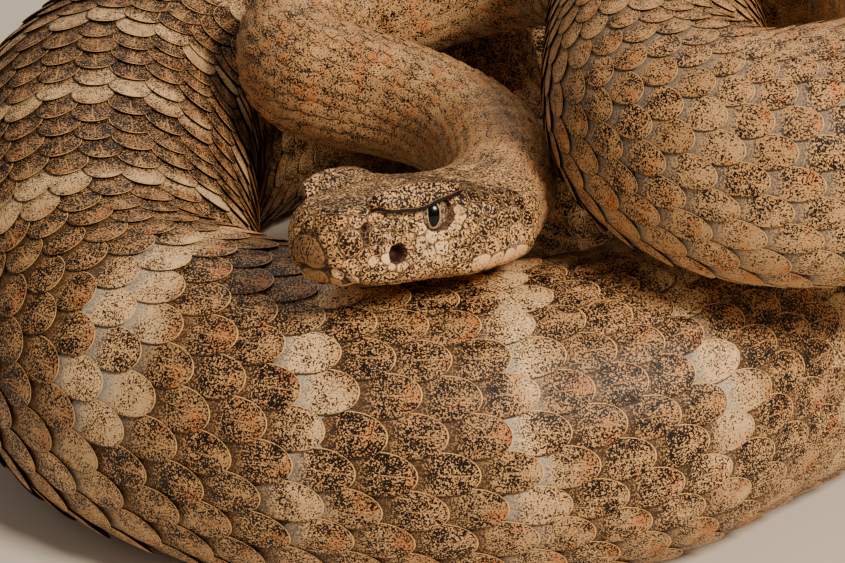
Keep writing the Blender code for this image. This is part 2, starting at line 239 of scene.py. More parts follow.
class Body:
    """The centre line, and the outline of the body as a surface over (run, around).

    Run is the distance from the snout. Around is 0 on the middle of the back, 1 or -1 on the middle of
    the belly, and positive on the side that is left when one looks towards the tail.
    """

    STEP = 0.5          # between two samples along the body
    FINE = 360          # points on half a section, before they are evened out
    AROUND = 160        # samples round the body
    SMOOTH = 6000       # points on the centre line, before they are evened out
    PITCH = 5.55        # between two scales of a row where the body is 44 wide
    PITCH_WIDTH = 44.0
    PITCH_POWER = 0.51
    OPEN = 1.42         # how far a bend may draw the outer scales apart
    BLUNT = 0.35        # the snout's width at its tip, as a share

    def __init__(self) -> None:
        """Samples the centre line and the surface."""
        points = np.array(route_points())
        chords = np.linalg.norm(np.diff(points, axis=0), axis=1)
        places = np.concatenate([[0], np.cumsum(np.sqrt(chords))])
        fine = natural_spline(places, points)(np.linspace(0, places[-1], self.SMOOTH))
        run = np.concatenate([[0], np.cumsum(np.linalg.norm(np.diff(fine, axis=0), axis=1))])
        self.length = run[-1]
        self.run = np.arange(0, self.length, self.STEP)
        self.centre = np.stack([np.interp(self.run, run, fine[:, k]) for k in range(3)], 1)
        self.centre -= FOOTPRINT_MIDDLE
        self.girth = GIRTH + [(self.length - before, width, height) for before, width, height in TAPER]
        rest = read(self.girth, 2, self.run) / 2 - SETTLE
        self.centre[:, 2] = self.eased(np.maximum(self.centre[:, 2], rest))
        self.tangent = np.gradient(self.centre, self.run, axis=0)
        self.tangent /= np.linalg.norm(self.tangent, axis=1)[:, None]
        heading = np.unwrap(np.arctan2(self.tangent[:, 1], self.tangent[:, 0]))
        level = np.stack([-np.sin(heading), np.cos(heading), 0 * heading], 1)
        lean = np.radians(read(LEAN, 1, self.run))[:, None]
        self.left = level * np.cos(lean) - np.cross(self.tangent, level) * np.sin(lean)
        self.up = np.cross(self.tangent, self.left)
        self.turn = np.gradient(heading, self.run)
        self.width = read(self.girth, 1, self.run)
        self.depth = COAT_DEPTH + COAT_GROWTH * self.width
        pitch = self.PITCH * (self.width / self.PITCH_WIDTH) ** self.PITCH_POWER
        pitch *= np.minimum(1, self.OPEN / (1 + np.abs(self.turn) * self.width / 2))
        self.order = np.concatenate([[0], np.cumsum(self.STEP / pitch[:-1])])
        gone = np.concatenate([[0], np.cumsum(self.STEP / read(BAND_GAPS, 1, self.run[:-1]))])
        there = np.interp(A_BAND, self.run, gone)
        self.bands = gone - there + math.ceil(there) + 0.5
        self.rings, self.perimeter = self.outline()
        self.normals, self.stretch = self.facing()

    def eased(self, heights: np.ndarray) -> np.ndarray:
        """Takes the corners off, so that the body comes down to the floor in a curve.

        Args:
            heights: The centre line's height at each sample.

        Returns:
            The evened heights.
        """
        reach = round(EASING / self.STEP)
        weights = np.hanning(2 * reach + 3)[1:-1]
        padded = np.pad(heights, reach, mode="reflect", reflect_type="odd")
        return np.convolve(padded, weights / weights.sum(), mode="valid")

    def outline(self) -> tuple[np.ndarray, np.ndarray]:
        """The cross-sections as the solids have them, evenly spaced round the body, and their length."""
        angle = np.linspace(-math.pi, math.pi, 2 * self.FINE + 1)[None, :]
        c, s = np.sin(angle), np.cos(angle)
        run = self.run[:, None]
        square = read(SQUARENESS, 1, run)
        deeper, corner = read(JOWLS, 1, run), read(JOWLS, 2, run)
        nose = np.sqrt(1 - (1 - np.minimum(run / SNOUT_ROUNDING, 1)) ** 2)
        width = self.width[:, None] / 2 * (self.BLUNT + (1 - self.BLUNT) * nose) * np.minimum(1, nose * 3)
        height = read(self.girth, 2, run) / 2 * nose
        power = np.where(s < 0, 2 / (np.maximum(BELLY_SQUARENESS, square) + corner), 2 / square)
        across = width * np.sign(c) * np.abs(c) ** power
        above = height * np.sign(s) * np.abs(s) ** power * np.where(s < 0, deeper, 1)
        inside = np.maximum(0, width * self.turn[:, None] * np.sign(c))
        across = across / (1 + inside**4) ** 0.25
        ridge = np.exp(-((np.abs(c) - BROW_PLACE) / BROW_WIDTH) ** 2) * (s >= 0)
        brow = np.exp(-((run - BROW_BACK) / BROW_LENGTH) ** 4) * ridge
        across, above = across + np.sign(c) * BROW_SWELL * brow, above + BROW_RISE * brow
        points = (self.centre[:, None] + self.left[:, None] * across[..., None]
                  + self.up[:, None] * above[..., None])
        points[..., 2] = np.maximum(points[..., 2], 0)
        gaps = np.linalg.norm(np.diff(points, axis=1), axis=2)
        gone = np.concatenate([np.zeros((len(run), 1)), np.cumsum(gaps, axis=1)], axis=1)
        rings = np.empty((len(run), self.AROUND, 3))
        for i, ring in enumerate(points):
            back = gone[i, self.FINE]
            share = np.concatenate([(gone[i, :self.FINE] - back) / max(back, 1e-9),
                                    (gone[i, self.FINE:] - back) / max(gone[i, -1] - back, 1e-9)])
            want = np.linspace(-1, 1, self.AROUND, endpoint=False)
            for k in range(3):
                rings[i, :, k] = np.interp(want, share, ring[:, k])
        return rings, gone[:, -1]

    def facing(self) -> tuple[np.ndarray, np.ndarray]:
        """The outward direction at each sample of the surface, and how much the bends stretch it there."""
        around = np.roll(self.rings, -1, axis=1) - np.roll(self.rings, 1, axis=1)
        along = np.gradient(self.rings, self.run, axis=0)
        out = np.cross(along, around)
        out *= np.sign(np.sum(out * (self.rings - self.centre[:, None]), axis=2))[..., None]
        out[0] = -self.tangent[0]
        out /= np.maximum(np.linalg.norm(out, axis=2), 1e-9)[..., None]
        return out, np.linalg.norm(along, axis=2)

    def sample(self, table: np.ndarray, run: np.ndarray, around: np.ndarray) -> np.ndarray:
        """Values of a table over the surface, read between its samples.

        Args:
            table: One value or vector for each sample.
            run: Distances from the snout.
            around: Places round the body, of the same shape.

        Returns:
            The values, in the shape of the places.
        """
        i = np.clip(run / self.STEP, 0, len(self.run) - 1.001)
        j = (around + 1) / 2 * self.AROUND
        low, left = np.floor(i).astype(int), np.floor(j).astype(int)
        a, b = i - low, j - left
        if table.ndim == 3:
            a, b = a[..., None], b[..., None]
        left, right = left % self.AROUND, (left + 1) % self.AROUND
        return ((table[low, left] * (1 - b) + table[low, right] * b) * (1 - a)
                + (table[low + 1, left] * (1 - b) + table[low + 1, right] * b) * a)

    def surface(self, run: np.ndarray, around: np.ndarray, lift: np.ndarray) -> np.ndarray:
        """Points on the outline, lifted off it.

        Args:
            run: Distances from the snout.
            around: Places round the body.
            lift: How far outside the outline each point is.

        Returns:
            The points, none of them below the floor.
        """
        out = self.sample(self.normals, run, around)
        out /= np.maximum(np.linalg.norm(out, axis=-1), 1e-9)[..., None]
        points = self.sample(self.rings, run, around) + out * lift[..., None]
        points[..., 2] = np.maximum(points[..., 2], 0)
        return points

    def at_order(self, order: np.ndarray) -> np.ndarray:
        """The distance from the snout at which so many scales of a row have gone by."""
        return np.interp(order, self.order, self.run)

    def band(self, run: np.ndarray) -> np.ndarray:
        """How many crossbands have gone by: a whole number and a half in the middle of a pale one."""
        return np.interp(run, self.run, self.bands)

    def head_frame(self) -> tuple[np.ndarray, np.ndarray, np.ndarray, np.ndarray]:
        """The snout, and the head's own directions: back, left and up."""
        i = round(EYE_BACK / self.STEP)
        return self.centre[0], self.tangent[i], self.left[i], self.up[i]

    def head_point(self, back: float, side: float, up: float) -> np.ndarray:
        """A point given by its distance behind the snout, to the left and up."""
        base, axis, left, rise = self.head_frame()
        return base + axis * back + left * side + rise * up

    def in_head(self, points: np.ndarray) -> tuple[np.ndarray, np.ndarray, np.ndarray]:
        """Distances behind the snout, to the left and up, of points on the head."""
        base, *directions = self.head_frame()
        return tuple((points - base) @ direction for direction in directions)


def operator(operation: str, swap: bool = False) -> Callable[..., "Field"]:
    """A method that adds a Math node.

    Args:
        operation: The node's operation.
        swap: Whether the value it is called on comes last.

    Returns:
        The method.
    """
    def apply(self: "Field", *others: "Field | float") -> "Field":
        """The node's value, from this value and the others."""
        operands = [*others, self] if swap else [self, *others]
        return self.paint.node("ShaderNodeMath", {"operation": operation}, dict(enumerate(operands)))

    return apply


class Field:
    """One output of a material's nodes. Arithmetic on it adds Math nodes."""

    __add__ = __radd__ = operator("ADD")
    __sub__ = operator("SUBTRACT")
    __rsub__ = operator("SUBTRACT", swap=True)
    __mul__ = __rmul__ = operator("MULTIPLY")
    __truediv__ = operator("DIVIDE")
    __pow__ = operator("POWER")
    __abs__ = operator("ABSOLUTE")
    root = operator("SQRT")
    fraction = operator("FRACT")
    larger = operator("MAXIMUM")

    def __init__(self, paint: "Paint", socket: bpy.types.NodeSocket) -> None:
        """Wraps an output socket of a paint's tree."""
        self.paint = paint
        self.socket = socket

    def step(self, low: "Field | float", high: "Field | float") -> "Field":
        """An eased step from 0 at low to 1 at high."""
        return self.paint.node("ShaderNodeMapRange", {"interpolation_type": "SMOOTHSTEP"},
                               {"Value": self, "From Min": low, "From Max": high})


Colour = tuple[float, float, float]


def tint(red: float, green: float, blue: float) -> Colour:
    """A colour as the shader wants it.

    Args:
        red: Its red, from 0 to 255, as screens show it.
        green: Its green.
        blue: Its blue.

    Returns:
        The colour in linear light.
    """
    def linear(value: float) -> float:
        """One channel in linear light."""
        value /= 255
        return value / 12.92 if value <= 0.04045 else ((value + 0.055) / 1.055) ** 2.4

    return linear(red), linear(green), linear(blue)


class Paint:
    """A material whose nodes are made by calling its methods."""

    def __init__(self, name: str, roughness: float, specular: float = 0.5) -> None:
        """Starts a material on a Principled shader.

        Args:
            name: The material's name.
            roughness: Its roughness where nothing else sets one.
            specular: How strongly it reflects.
        """
        self.material = bpy.data.materials.new(name)
        self.material.use_nodes = True
        self.tree = self.material.node_tree
        self.shader = self.tree.nodes["Principled BSDF"]
        self.shader.inputs["Roughness"].default_value = roughness
        self.shader.inputs["Specular IOR Level"].default_value = specular

    def feed(self, socket: bpy.types.NodeSocket, value: "Field | float | Row") -> None:
        """Links a value to a socket, or sets it there.

        Args:
            socket: An input of a node.
            value: A field, a number, or a colour or vector.
        """
        if isinstance(value, Field):
            self.tree.links.new(value.socket, socket)
        elif isinstance(value, tuple) and socket.type == "RGBA" and len(value) == 3:
            socket.default_value = (*value, 1)
        else:
            socket.default_value = value

    def node(self, kind: str, settings: dict, sockets: dict, output: int | str = 0) -> Field:
        """Adds one node.

        Args:
            kind: The node's type.
            settings: Its own settings, which are set first.
            sockets: Values or links of its inputs.
            output: Which output is wanted.

        Returns:
            That output.
        """
        made = self.tree.nodes.new(kind)
        for name, value in settings.items():
            setattr(made, name, value)
        for name, value in sockets.items():
            self.feed(made.inputs[name], value)
        return Field(self, made.outputs[output])

    def put(self, name: str, value: "Field | float | Colour") -> None:
        """Sets or links one socket of the shader."""
        self.feed(self.shader.inputs[name], value)

    def here(self) -> Field:
        """The place on the piece, in metres."""
        return self.node("ShaderNodeTexCoord", {}, {}, "Object")

    def noise(self, scale: float, detail: float = 2.0, distortion: float = 0.0) -> Field:
        """Even noise.

        Args:
            scale: How many cells to a metre.
            detail: How many finer layers it has.
            distortion: How far its cells are drawn out of shape.

        Returns:
            Values from 0 to 1.
        """
        return self.node("ShaderNodeTexNoise", {}, {
            "Vector": self.here(), "Scale": scale, "Detail": detail, "Roughness": 0.55,
            "Distortion": distortion}, "Fac")

    def parts(self, vector: Field) -> tuple[Field, Field, Field]:
        """Takes a vector apart.

        Args:
            vector: The vector.

        Returns:
            Its three numbers.
        """
        first = self.node("ShaderNodeSeparateXYZ", {}, {"Vector": vector}, "X")
        made = first.socket.node
        return first, Field(self, made.outputs["Y"]), Field(self, made.outputs["Z"])

    def attribute(self, name: str) -> tuple[Field, Field, Field]:
        """The three numbers that the mesh carries under a name."""
        return self.parts(self.node("ShaderNodeAttribute", {"attribute_name": name}, {}, "Vector"))

    def on_scale(self) -> tuple[Field, Field, Field]:
        """The place on the scale or plate, as its map Scale has it."""
        return self.parts(self.node("ShaderNodeUVMap", {"uv_map": "Scale"}, {}, "UV"))

    def mix(self, factor: "Field | float", first: "Field | Colour", second: "Field | Colour",
            blend: str = "MIX") -> Field:
        """Two colours mixed.

        Args:
            factor: How much of the second.
            first: The first colour.
            second: The second colour.
            blend: How the second goes on the first.

        Returns:
            The mixed colour.
        """
        return self.node("ShaderNodeMix", {"data_type": "RGBA", "blend_type": blend},
                         {0: factor, 6: first, 7: second}, 2)

    def shade(self, colour: "Field | Colour", light: Field) -> Field:
        """Makes a colour darker or lighter.

        Args:
            colour: The colour.
            light: What it is multiplied by.

        Returns:
            The new colour.
        """
        channels = dict.fromkeys(("Red", "Green", "Blue"), light)
        grey = self.node("ShaderNodeCombineColor", {}, channels, "Color")
        return self.mix(1.0, colour, grey, "MULTIPLY")

    def bump(self, height: Field, distance: float) -> None:
        """Raises the surface by a height from 0 to 1, of so many metres."""
        sockets = {"Strength": 1.0, "Distance": distance, "Height": height}
        self.put("Normal", self.node("ShaderNodeBump", {}, sockets, "Normal"))


@dataclass(frozen=True)
class Markings:
    """The colours of the animal, which its skin and its coat share."""

    pale: Colour = tint(232, 192, 140)
    tan: Colour = tint(200, 150, 98)
    rust: Colour = tint(208, 128, 66)
    rim: Colour = tint(246, 192, 124)
    keel: Colour = tint(228, 170, 112)
    fleck: Colour = tint(20, 6, 1)
    pale_fleck: Colour = tint(60, 31, 12)
    between_pale: Colour = tint(172, 162, 148)
    between_dark: Colour = tint(96, 68, 44)
    between_head: Colour = tint(128, 92, 60)
    belly: Colour = tint(214, 180, 136)
    band_share: float = 0.19    # of a crossband's length that is pale
    band_edge: float = 0.12     # and how softly that ends
    flank: Row = (0.34, 0.74)   # where the crossbands fade, from back to belly
    fading: float = 0.75        # how much of them goes there, and on the plainer fore part
    head_end: float = 4.4       # crossbands gone by where the head ends
    neck_end: float = 14.0
    calm_end: Row = (25.5, 30.5)        # and where the plainer fore part of the body ends
    arch_start: Row = (31.0, 33.0)      # where the body begins to be darker, and where that ends
    arch_end: Row = (38.0, 39.2)
    fleck_edge: float = 0.015   # how softly a fleck ends

    def crossband(self, paint: Paint, bands: Field, around: Field, tone: "Field | float" = 0.5) -> Field:
        """How pale the crossbands make each place.

        Args:
            paint: The finish that asks.
            bands: Crossbands gone by.
            around: The place round the body.
            tone: The scale's own random number, which shifts the band on it.

        Returns:
            A value from 0 to 1.
        """
        drift = (paint.noise(60, 1.0) - 0.5) * 0.24
        place = (bands + drift + (tone - 0.5) * 0.16).fraction()
        from_middle = abs(place - 0.5) * 2
        band = 1 - from_middle.step(self.band_share - self.band_edge, self.band_share + self.band_edge)
        low = abs(around).step(*self.flank)
        return band * (1 - low * self.fading) * (1 - self.fading * self.calm(bands))

    def calm(self, bands: Field) -> Field:
        """1 on the plainer fore part of the body, which ends at the raised bend."""
        return 1 - bands.step(*self.calm_end)

    def between(self, paint: Paint, bands: Field, pale: Field) -> Field:
        """The skin's colour between the scales."""
        return paint.mix(pale.larger(self.calm(bands) * 0.45), self.between_dark, self.between_pale)

    def flecks(self, paint: Paint, density: Field, scale: float = 4400.0) -> Field:
        """Fine dark specks.

        Args:
            paint: The finish that asks.
            density: How much of the surface they cover, from 0 to 1.
            scale: How many to a metre.

        Returns:
            1 on a speck and 0 between them.
        """
        grain = paint.noise(scale, 1.0, 0.4) + (paint.noise(420, 2.0) - 0.5) * 0.30
        limit = 0.31 + density * 0.36
        return 1 - grain.step(limit - self.fleck_edge, limit + self.fleck_edge)


@dataclass(frozen=True)
class CoatFinish:
    """Keeled scales with a pale rim, dark specks and crossbands.

    Each pair of numbers is where something on the scale begins and where it is full: from its middle
    (0) to its side (1), or from its root (0) to its tip (1). The scale's wall, painted dark as shade, lies
        past 1.
    """

    name: str = "scale coat"
    marks: Markings = field(default_factory=Markings)
    flank: Row = (0.30, 0.72)           # where the coat pales, from the back to the belly
    rim_side: Row = (0.955, 0.970)      # the pale rim
    rim_tip: Row = (0.976, 0.984)
    rim_root: Row = (0.22, 0.40)        # how far forward it runs
    line_side: Row = (0.86, 0.92)       # the thin dark line within the rim
    line_tip: Row = (0.935, 0.96)
    lower_edge_shade: Row = (0.938, 0.953)    # painted shadow along the scale's edge towards the belly
    wall: Row = (1.03, 1.10)            # the wall, painted dark as shade
    inner: Row = (0.62, 0.98)           # where the specks thin out
    clear_side: Row = (0.1, 0.6)        # the patch with fewer specks
    clear_tip: Row = (0.45, 0.7)
    rust_tip: Row = (0.35, 0.8)         # where rusty patches begin
    keel_side: Row = (0.02, 0.05)       # half the width of the keel
    keel_tip: Row = (0.80, 0.92)        # where it ends
    hind: Row = (0.30, 0.50)            # where keel and line begin
    root: Row = (0.04, 0.34)            # the root: partly the skin's own colour between scales, partly painted shade under the neighbours' tips

    def make(self) -> bpy.types.Material:
        """The material of the body's scales."""
        paint, m = Paint(self.name, 0.5, 0.28), self.marks
        order, around, tone = paint.attribute("lie")
        u, v, _ = paint.on_scale()
        across = abs(u - 0.5) * 2
        pale = m.crossband(paint, order, around, tone)
        low = abs(around).step(*self.flank)
        inner = 1 - across.larger(v).step(*self.inner)
        neck = 1 - order.step(m.head_end, m.neck_end)
        calm = neck.larger(m.calm(order))
        clear = (1 - across.step(*self.clear_side)) * v.step(*self.clear_tip)
        arch = order.step(*m.arch_start) * (1 - order.step(*m.arch_end))
        density = (0.64 - pale * 0.27 - low * 0.12 - calm * 0.14 - neck * 0.06 + arch * 0.06
                   + inner * 0.06 + (tone - 0.5) * 0.16 - clear * 0.14)
        ground = paint.mix(pale + (1 - pale) * low * 0.4, m.tan, m.pale)
        patch = paint.noise(260, 2.0).step(0.50, 0.66) * v.step(*self.rust_tip) * (1 - pale * 0.6) * 0.8
        ground = paint.mix(patch, ground, m.rust)
        ground = paint.shade(ground, (0.86 + tone * 0.26) * (1 - neck * 0.12))
        speck = paint.mix(pale, m.fleck, m.pale_fleck)
        colour = paint.mix(m.flecks(paint, density), ground, speck)
        past_root = v.step(*self.rim_root)
        rim = across.step(*self.rim_side).larger(v.step(*self.rim_tip)) * past_root
        line = across.step(*self.line_side).larger(v.step(*self.line_tip)) * v.step(*self.hind) * (1 - rim)
        colour = paint.mix(line * 0.30, colour, m.fleck)
        keel = (1 - across.step(*self.keel_side)) * v.step(*self.hind) * (1 - v.step(*self.keel_tip))
        colour = paint.mix(keel * 0.45, colour, m.keel)
        colour = paint.mix(rim * 0.9, colour, m.rim)
        to_belly = (u - 0.5) * 2 * (around.step(-0.01, 0.01) * 2 - 1)       # 1 at the side towards the belly, where the painted shadow goes
        under = to_belly.step(*self.lower_edge_shade) * past_root
        wall = across.larger(v).step(*self.wall)
        # Painted shadow under each scale: its wall and its edge towards the belly are darkened.
        colour = paint.mix(wall.larger(under) * 0.9, colour, m.fleck)
        # The root is darkened to the skin's colour: partly skin showing between scales, partly painted
        # shade under the neighbours' tips.
        colour = paint.mix((1 - v.step(*self.root)) * 0.8, colour, m.between(paint, order, pale))
        paint.put("Base Color", colour)
        paint.put("Roughness", 0.46 + paint.noise(900, 2.0) * 0.16)
        paint.bump(keel * 0.6 + paint.noise(2600, 2.0) * 0.35 + rim * 0.6, 0.00012)
        return paint.material


@dataclass(frozen=True)
class SkinFinish:
    """Soft skin, seen between the scales, with the coat's own markings."""

    name: str = "skin"
    marks: Markings = field(default_factory=Markings)
    hollow_shade_colour: Colour = tint(44, 15, 7)    # painted shade in the mouth line, pits, nostrils and eye sockets

    def make(self) -> bpy.types.Material:
        """The material of the skin."""
        paint, m = Paint(self.name, 0.62, 0.3), self.marks
        order, around, hollow_shade = paint.attribute("lie")
        pale = m.crossband(paint, order, around)
        ground = m.between(paint, order, pale)
        ground = paint.mix(order.step(m.head_end - 1.0, m.head_end), m.between_head, ground)
        head = 1 - order.step(m.head_end - 0.6, m.head_end)
        colour = paint.mix(m.flecks(paint, 0.42 - pale * 0.25 + head * 0.12), ground, m.fleck)
        # Painted shade: the mouth line, pits, nostrils and eye sockets are darkened as if in shadow.
        colour = paint.mix(hollow_shade, colour, self.hollow_shade_colour)
        paint.put("Base Color", colour)
        paint.bump(paint.noise(1800, 3.0), 0.00015)
        return paint.material


@dataclass(frozen=True)
class BellyFinish:
    """Smooth pale plates, powdered with grey towards their hind edges."""

    name: str = "belly plates"
    marks: Markings = field(default_factory=Markings)

    def make(self) -> bpy.types.Material:
        """The material of the belly plates."""
        paint, m = Paint(self.name, 0.42, 0.45), self.marks
        _, _, tone = paint.attribute("lie")
        _, v, _ = paint.on_scale()
        ground = paint.shade(m.belly, 0.86 + tone * 0.2)
        colour = paint.mix(m.flecks(paint, 0.12 + v * 0.28, 2400), ground, m.pale_fleck)
        colour = paint.mix(v.step(0.90, 1.0) * 0.5, colour, m.rim)
        paint.put("Base Color", colour)
        paint.bump(paint.noise(1500, 2.0), 0.00008)
        return paint.material


@dataclass(frozen=True)
class HeadFinish:
    """Small shields, densely stippled on the crown and paler on the lips.

    Each pair of numbers is where something begins and where it is full, from a shield's middle (0) to
    its rim (1). The painted shadow under the brow's overhanging edge lies past 1.
    """

    name: str = "head shields"
    marks: Markings = field(default_factory=Markings)
    tan: Colour = tint(214, 154, 92)
    cream: Colour = tint(244, 210, 160)
    brown: Colour = tint(92, 63, 44)
    fleck_scale: float = 3700
    line: Row = (0.76, 0.84)            # the painted highlight on the shield's raised rim
    rim_highlight_end: Row = (0.90, 0.94)
    # painted shade in the groove between two shields
    groove: Row = (0.91, 0.97)
    brow_shadow: Row = (1.08, 1.16)

    def make(self) -> bpy.types.Material:
        """The material of the head's shields."""
        paint, m = Paint(self.name, 0.5, 0.28), self.marks
        pale, dense, tone = paint.attribute("lie")
        rim, _, _ = paint.on_scale()
        ground = paint.mix(pale, self.tan, self.cream)
        ground = paint.shade(ground, 0.82 + tone * 0.34)
        # Brown where paleness is below 0: on the snout's tip and the chin partly their own colour, partly
        # painted shade.
        ground = paint.mix(0 - pale, ground, self.brown)
        colour = paint.mix(m.flecks(paint, dense, self.fleck_scale), ground, m.fleck)
        # A painted highlight along each shield's raised rim, and painted shade in the groove beyond it.
        line = rim.step(*self.line) * (1 - rim.step(*self.rim_highlight_end))
        colour = paint.mix(line * 0.30, colour, m.rim)
        colour = paint.shade(colour, 1 - rim.step(*self.groove) * 0.5)
        # Painted shadow under the brow's overhanging edge.
        colour = paint.mix(rim.step(*self.brow_shadow), colour, m.fleck)
        paint.put("Base Color", colour)
        paint.put("Roughness", 0.46 + paint.noise(900, 2.0) * 0.16)
        paint.bump(paint.noise(2600, 2.0), 0.00006)
        return paint.material


@dataclass(frozen=True)
class EyeFinish:
    """A wet eye with a freckled bronze iris round an upright slit."""

    name: str
    centre: Row
    gaze: Row
    upright: Row
    slit_width: float = 0.74        # half of it
    slit_height: float = 1.65
    ball: float = 2.2
    dark_iris: Colour = tint(44, 29, 19)
    pale_iris: Colour = tint(176, 146, 114)
    ring: Colour = tint(212, 182, 148)      # the bright line round the slit
    eye_rim_shade: Colour = tint(24, 14, 8)        # painted shade round the eye's rim, where it meets the socket
    slit: Colour = tint(3, 2, 2)

    def make(self) -> bpy.types.Material:
        """The material of one eye."""
        paint = Paint(self.name, 0.25, 0.12)
        centre = tuple(x * MM for x in self.centre)
        away = paint.node("ShaderNodeVectorMath", {"operation": "SUBTRACT"},
                          {0: paint.here(), 1: centre}, "Vector")
        across = tuple(np.cross(self.upright, self.gaze))
        dot = {"operation": "DOT_PRODUCT"}
        x, y = (paint.node("ShaderNodeVectorMath", dot, {0: away, 1: axis}, "Value") * (1 / MM)
                for axis in (across, self.upright))
        from_slit = ((x / self.slit_width) ** 2.0 + (y / self.slit_height) ** 2.0).root()
        spread = (x * x + y * y).root() / self.ball
        freckle = paint.noise(2600, 3.0, 0.8)
        iris = paint.mix(freckle.step(0.42, 0.60), self.dark_iris, self.pale_iris)
        ring = from_slit.step(1.0, 1.05) * (1 - from_slit.step(1.08, 1.20))
        iris = paint.mix(ring * 0.6, iris, self.ring)
        # Painted shade darkens the eye towards its rim, next to the socket.
        iris = paint.mix(spread.step(0.80, 0.98) * 0.8, iris, self.eye_rim_shade)
        colour = paint.mix(1 - from_slit.step(0.94, 1.02), iris, self.slit)
        paint.put("Base Color", colour)
        paint.put("Coat Weight", 0.38)
        paint.put("Coat Roughness", 0.03)
        return paint.material


@dataclass(frozen=True)
class RattleFinish:
    """Dry horn: brown, ringed and a little glossy."""

    name: str = "rattle horn"
    brown: Colour = tint(104, 78, 50)
    straw: Colour = tint(176, 146, 104)
    stain: Colour = tint(60, 40, 24)

    def make(self) -> bpy.types.Material:
        """The material of the rattle."""
        paint = Paint(self.name, 0.4, 0.5)
        cloud = paint.noise(380, 3.0)
        colour = paint.mix(cloud.step(0.3, 0.7), self.brown, self.straw)
        colour = paint.mix(paint.noise(2200, 2.0).step(0.56, 0.66) * 0.4, colour, self.stain)
        paint.put("Base Color", colour)
        paint.put("Roughness", 0.32 + cloud * 0.2)
        paint.bump(paint.noise(1400, 2.0), 0.0001)
        return paint.material


@dataclass(frozen=True)
class FloorFinish:
    """A plain pale studio floor."""

    name: str = "studio floor"

    def make(self) -> bpy.types.Material:
        """The material of the floor."""
        paint = Paint(self.name, 0.8, 0.2)
        paint.put("Base Color", tint(206, 196, 184))
        return paint.material


def remove(thing: bpy.types.Object) -> None:
    """Takes a helper out of the scene."""
    bpy.data.objects.remove(thing, do_unlink=True)


def alone(thing: bpy.types.Object) -> None:
    """Makes one object the only selected and the active one.

    Args:
        thing: The object.
    """
    bpy.ops.object.select_all(action="DESELECT")
    thing.select_set(True)
    bpy.context.view_layer.objects.active = thing


def made_of(name: str, points: np.ndarray, faces: list) -> bpy.types.Object:
    """A new object, selected and active.

    Args:
        name: Its name.
        points: Its points, in millimetres.
        faces: The numbers of the points of each face.

    Returns:
        The object.
    """
    mesh = bpy.data.meshes.new(name)
    mesh.from_pydata(points * MM, [], faces)
    piece = bpy.data.objects.new(name, mesh)
    bpy.context.scene.collection.objects.link(piece)
    alone(piece)
    return piece


def face_outwards() -> None:
    """Turns all the faces of the active object outwards."""
    bpy.ops.object.mode_set(mode="EDIT")
    bpy.ops.mesh.select_all(action="SELECT")
    bpy.ops.mesh.normals_make_consistent(inside=False)
    bpy.ops.object.mode_set(mode="OBJECT")


def carry(piece: bpy.types.Object, values: np.ndarray, **maps: np.ndarray) -> None:
    """Writes what the finish of a piece reads, and its maps.

    Args:
        piece: The piece.
        values: Three numbers for each of its points.
        maps: By its name, a map's place for each corner of each face.
    """
    made = piece.data.attributes.new("lie", "FLOAT_VECTOR", "POINT")
    made.data.foreach_set("vector", values.astype(np.float32).ravel())
    for name, places in maps.items():
        layer = piece.data.uv_layers.new(name=name, do_init=False)
        layer.uv.foreach_set("vector", places.astype(np.float32).ravel())


def keep(piece: bpy.types.Object, finish: bpy.types.Material,
         nodes: Iterable[str] = ()) -> None:
    """Gives a piece its finish and its place in the frame, and reports it.

    Args:
        piece: The finished piece.
        finish: Its material.
        nodes: The nodes of the frame that it replaces.
    """
    piece.data.materials.clear()
    piece.data.materials.append(finish)
    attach(piece, ROOT)
    if nodes:
        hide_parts(*nodes)
    faces = sum(len(face.vertices) - 2 for face in piece.data.polygons)
    log.info("%s: %d triangles", piece.name, faces)


@dataclass
class Shape:
    """One small closed form that is repeated many times."""

    points: np.ndarray
    faces: list[tuple[int, ...]]
    places: np.ndarray | None = None        # on its sheet, from 0 to 1, before it was shaped

    @classmethod
    def taken(cls, thing: bpy.types.Object) -> "Shape":
        """The form of a modelled object, which is then removed.

        Args:
            thing: The object.

        Returns:
            The form.
        """
        points = np.array([v.co for v in thing.data.vertices], float)
        faces = [tuple(face.vertices) for face in thing.data.polygons]
        remove(thing)
        return cls(points, faces)

    def corners(self) -> np.ndarray:
        """The point of each corner of each face, in order."""
        return np.concatenate([np.array(face) for face in self.faces])

    def beneath(self) -> np.ndarray:
        """Which points lie on the underside."""
        return self.points[:, 2] < -0.5

    def flat(self) -> np.ndarray:
        """Which corners, in order, belong to a face of the underside."""
        low = self.beneath()
        return np.concatenate([np.full(len(face), low[list(face)].all()) for face in self.faces])

    def joined(self, name: str, places: np.ndarray) -> bpy.types.Object:
        """One object that holds a copy of the form for each row of places.

        Args:
            name: The object's name.
            places: For each copy, its points in millimetres.

        Returns:
            The new object, shaded smooth but for its sharp edges.
        """
        count, size = places.shape[:2]
        faces = [tuple(base + i for i in face)
                 for base in range(0, count * size, size) for face in self.faces]
        piece = made_of(name, places.reshape(-1, 3), faces)
        bpy.ops.object.shade_smooth_by_angle(angle=math.radians(50))
        return piece


Outline = Callable[[np.ndarray, np.ndarray], tuple[np.ndarray, np.ndarray]]


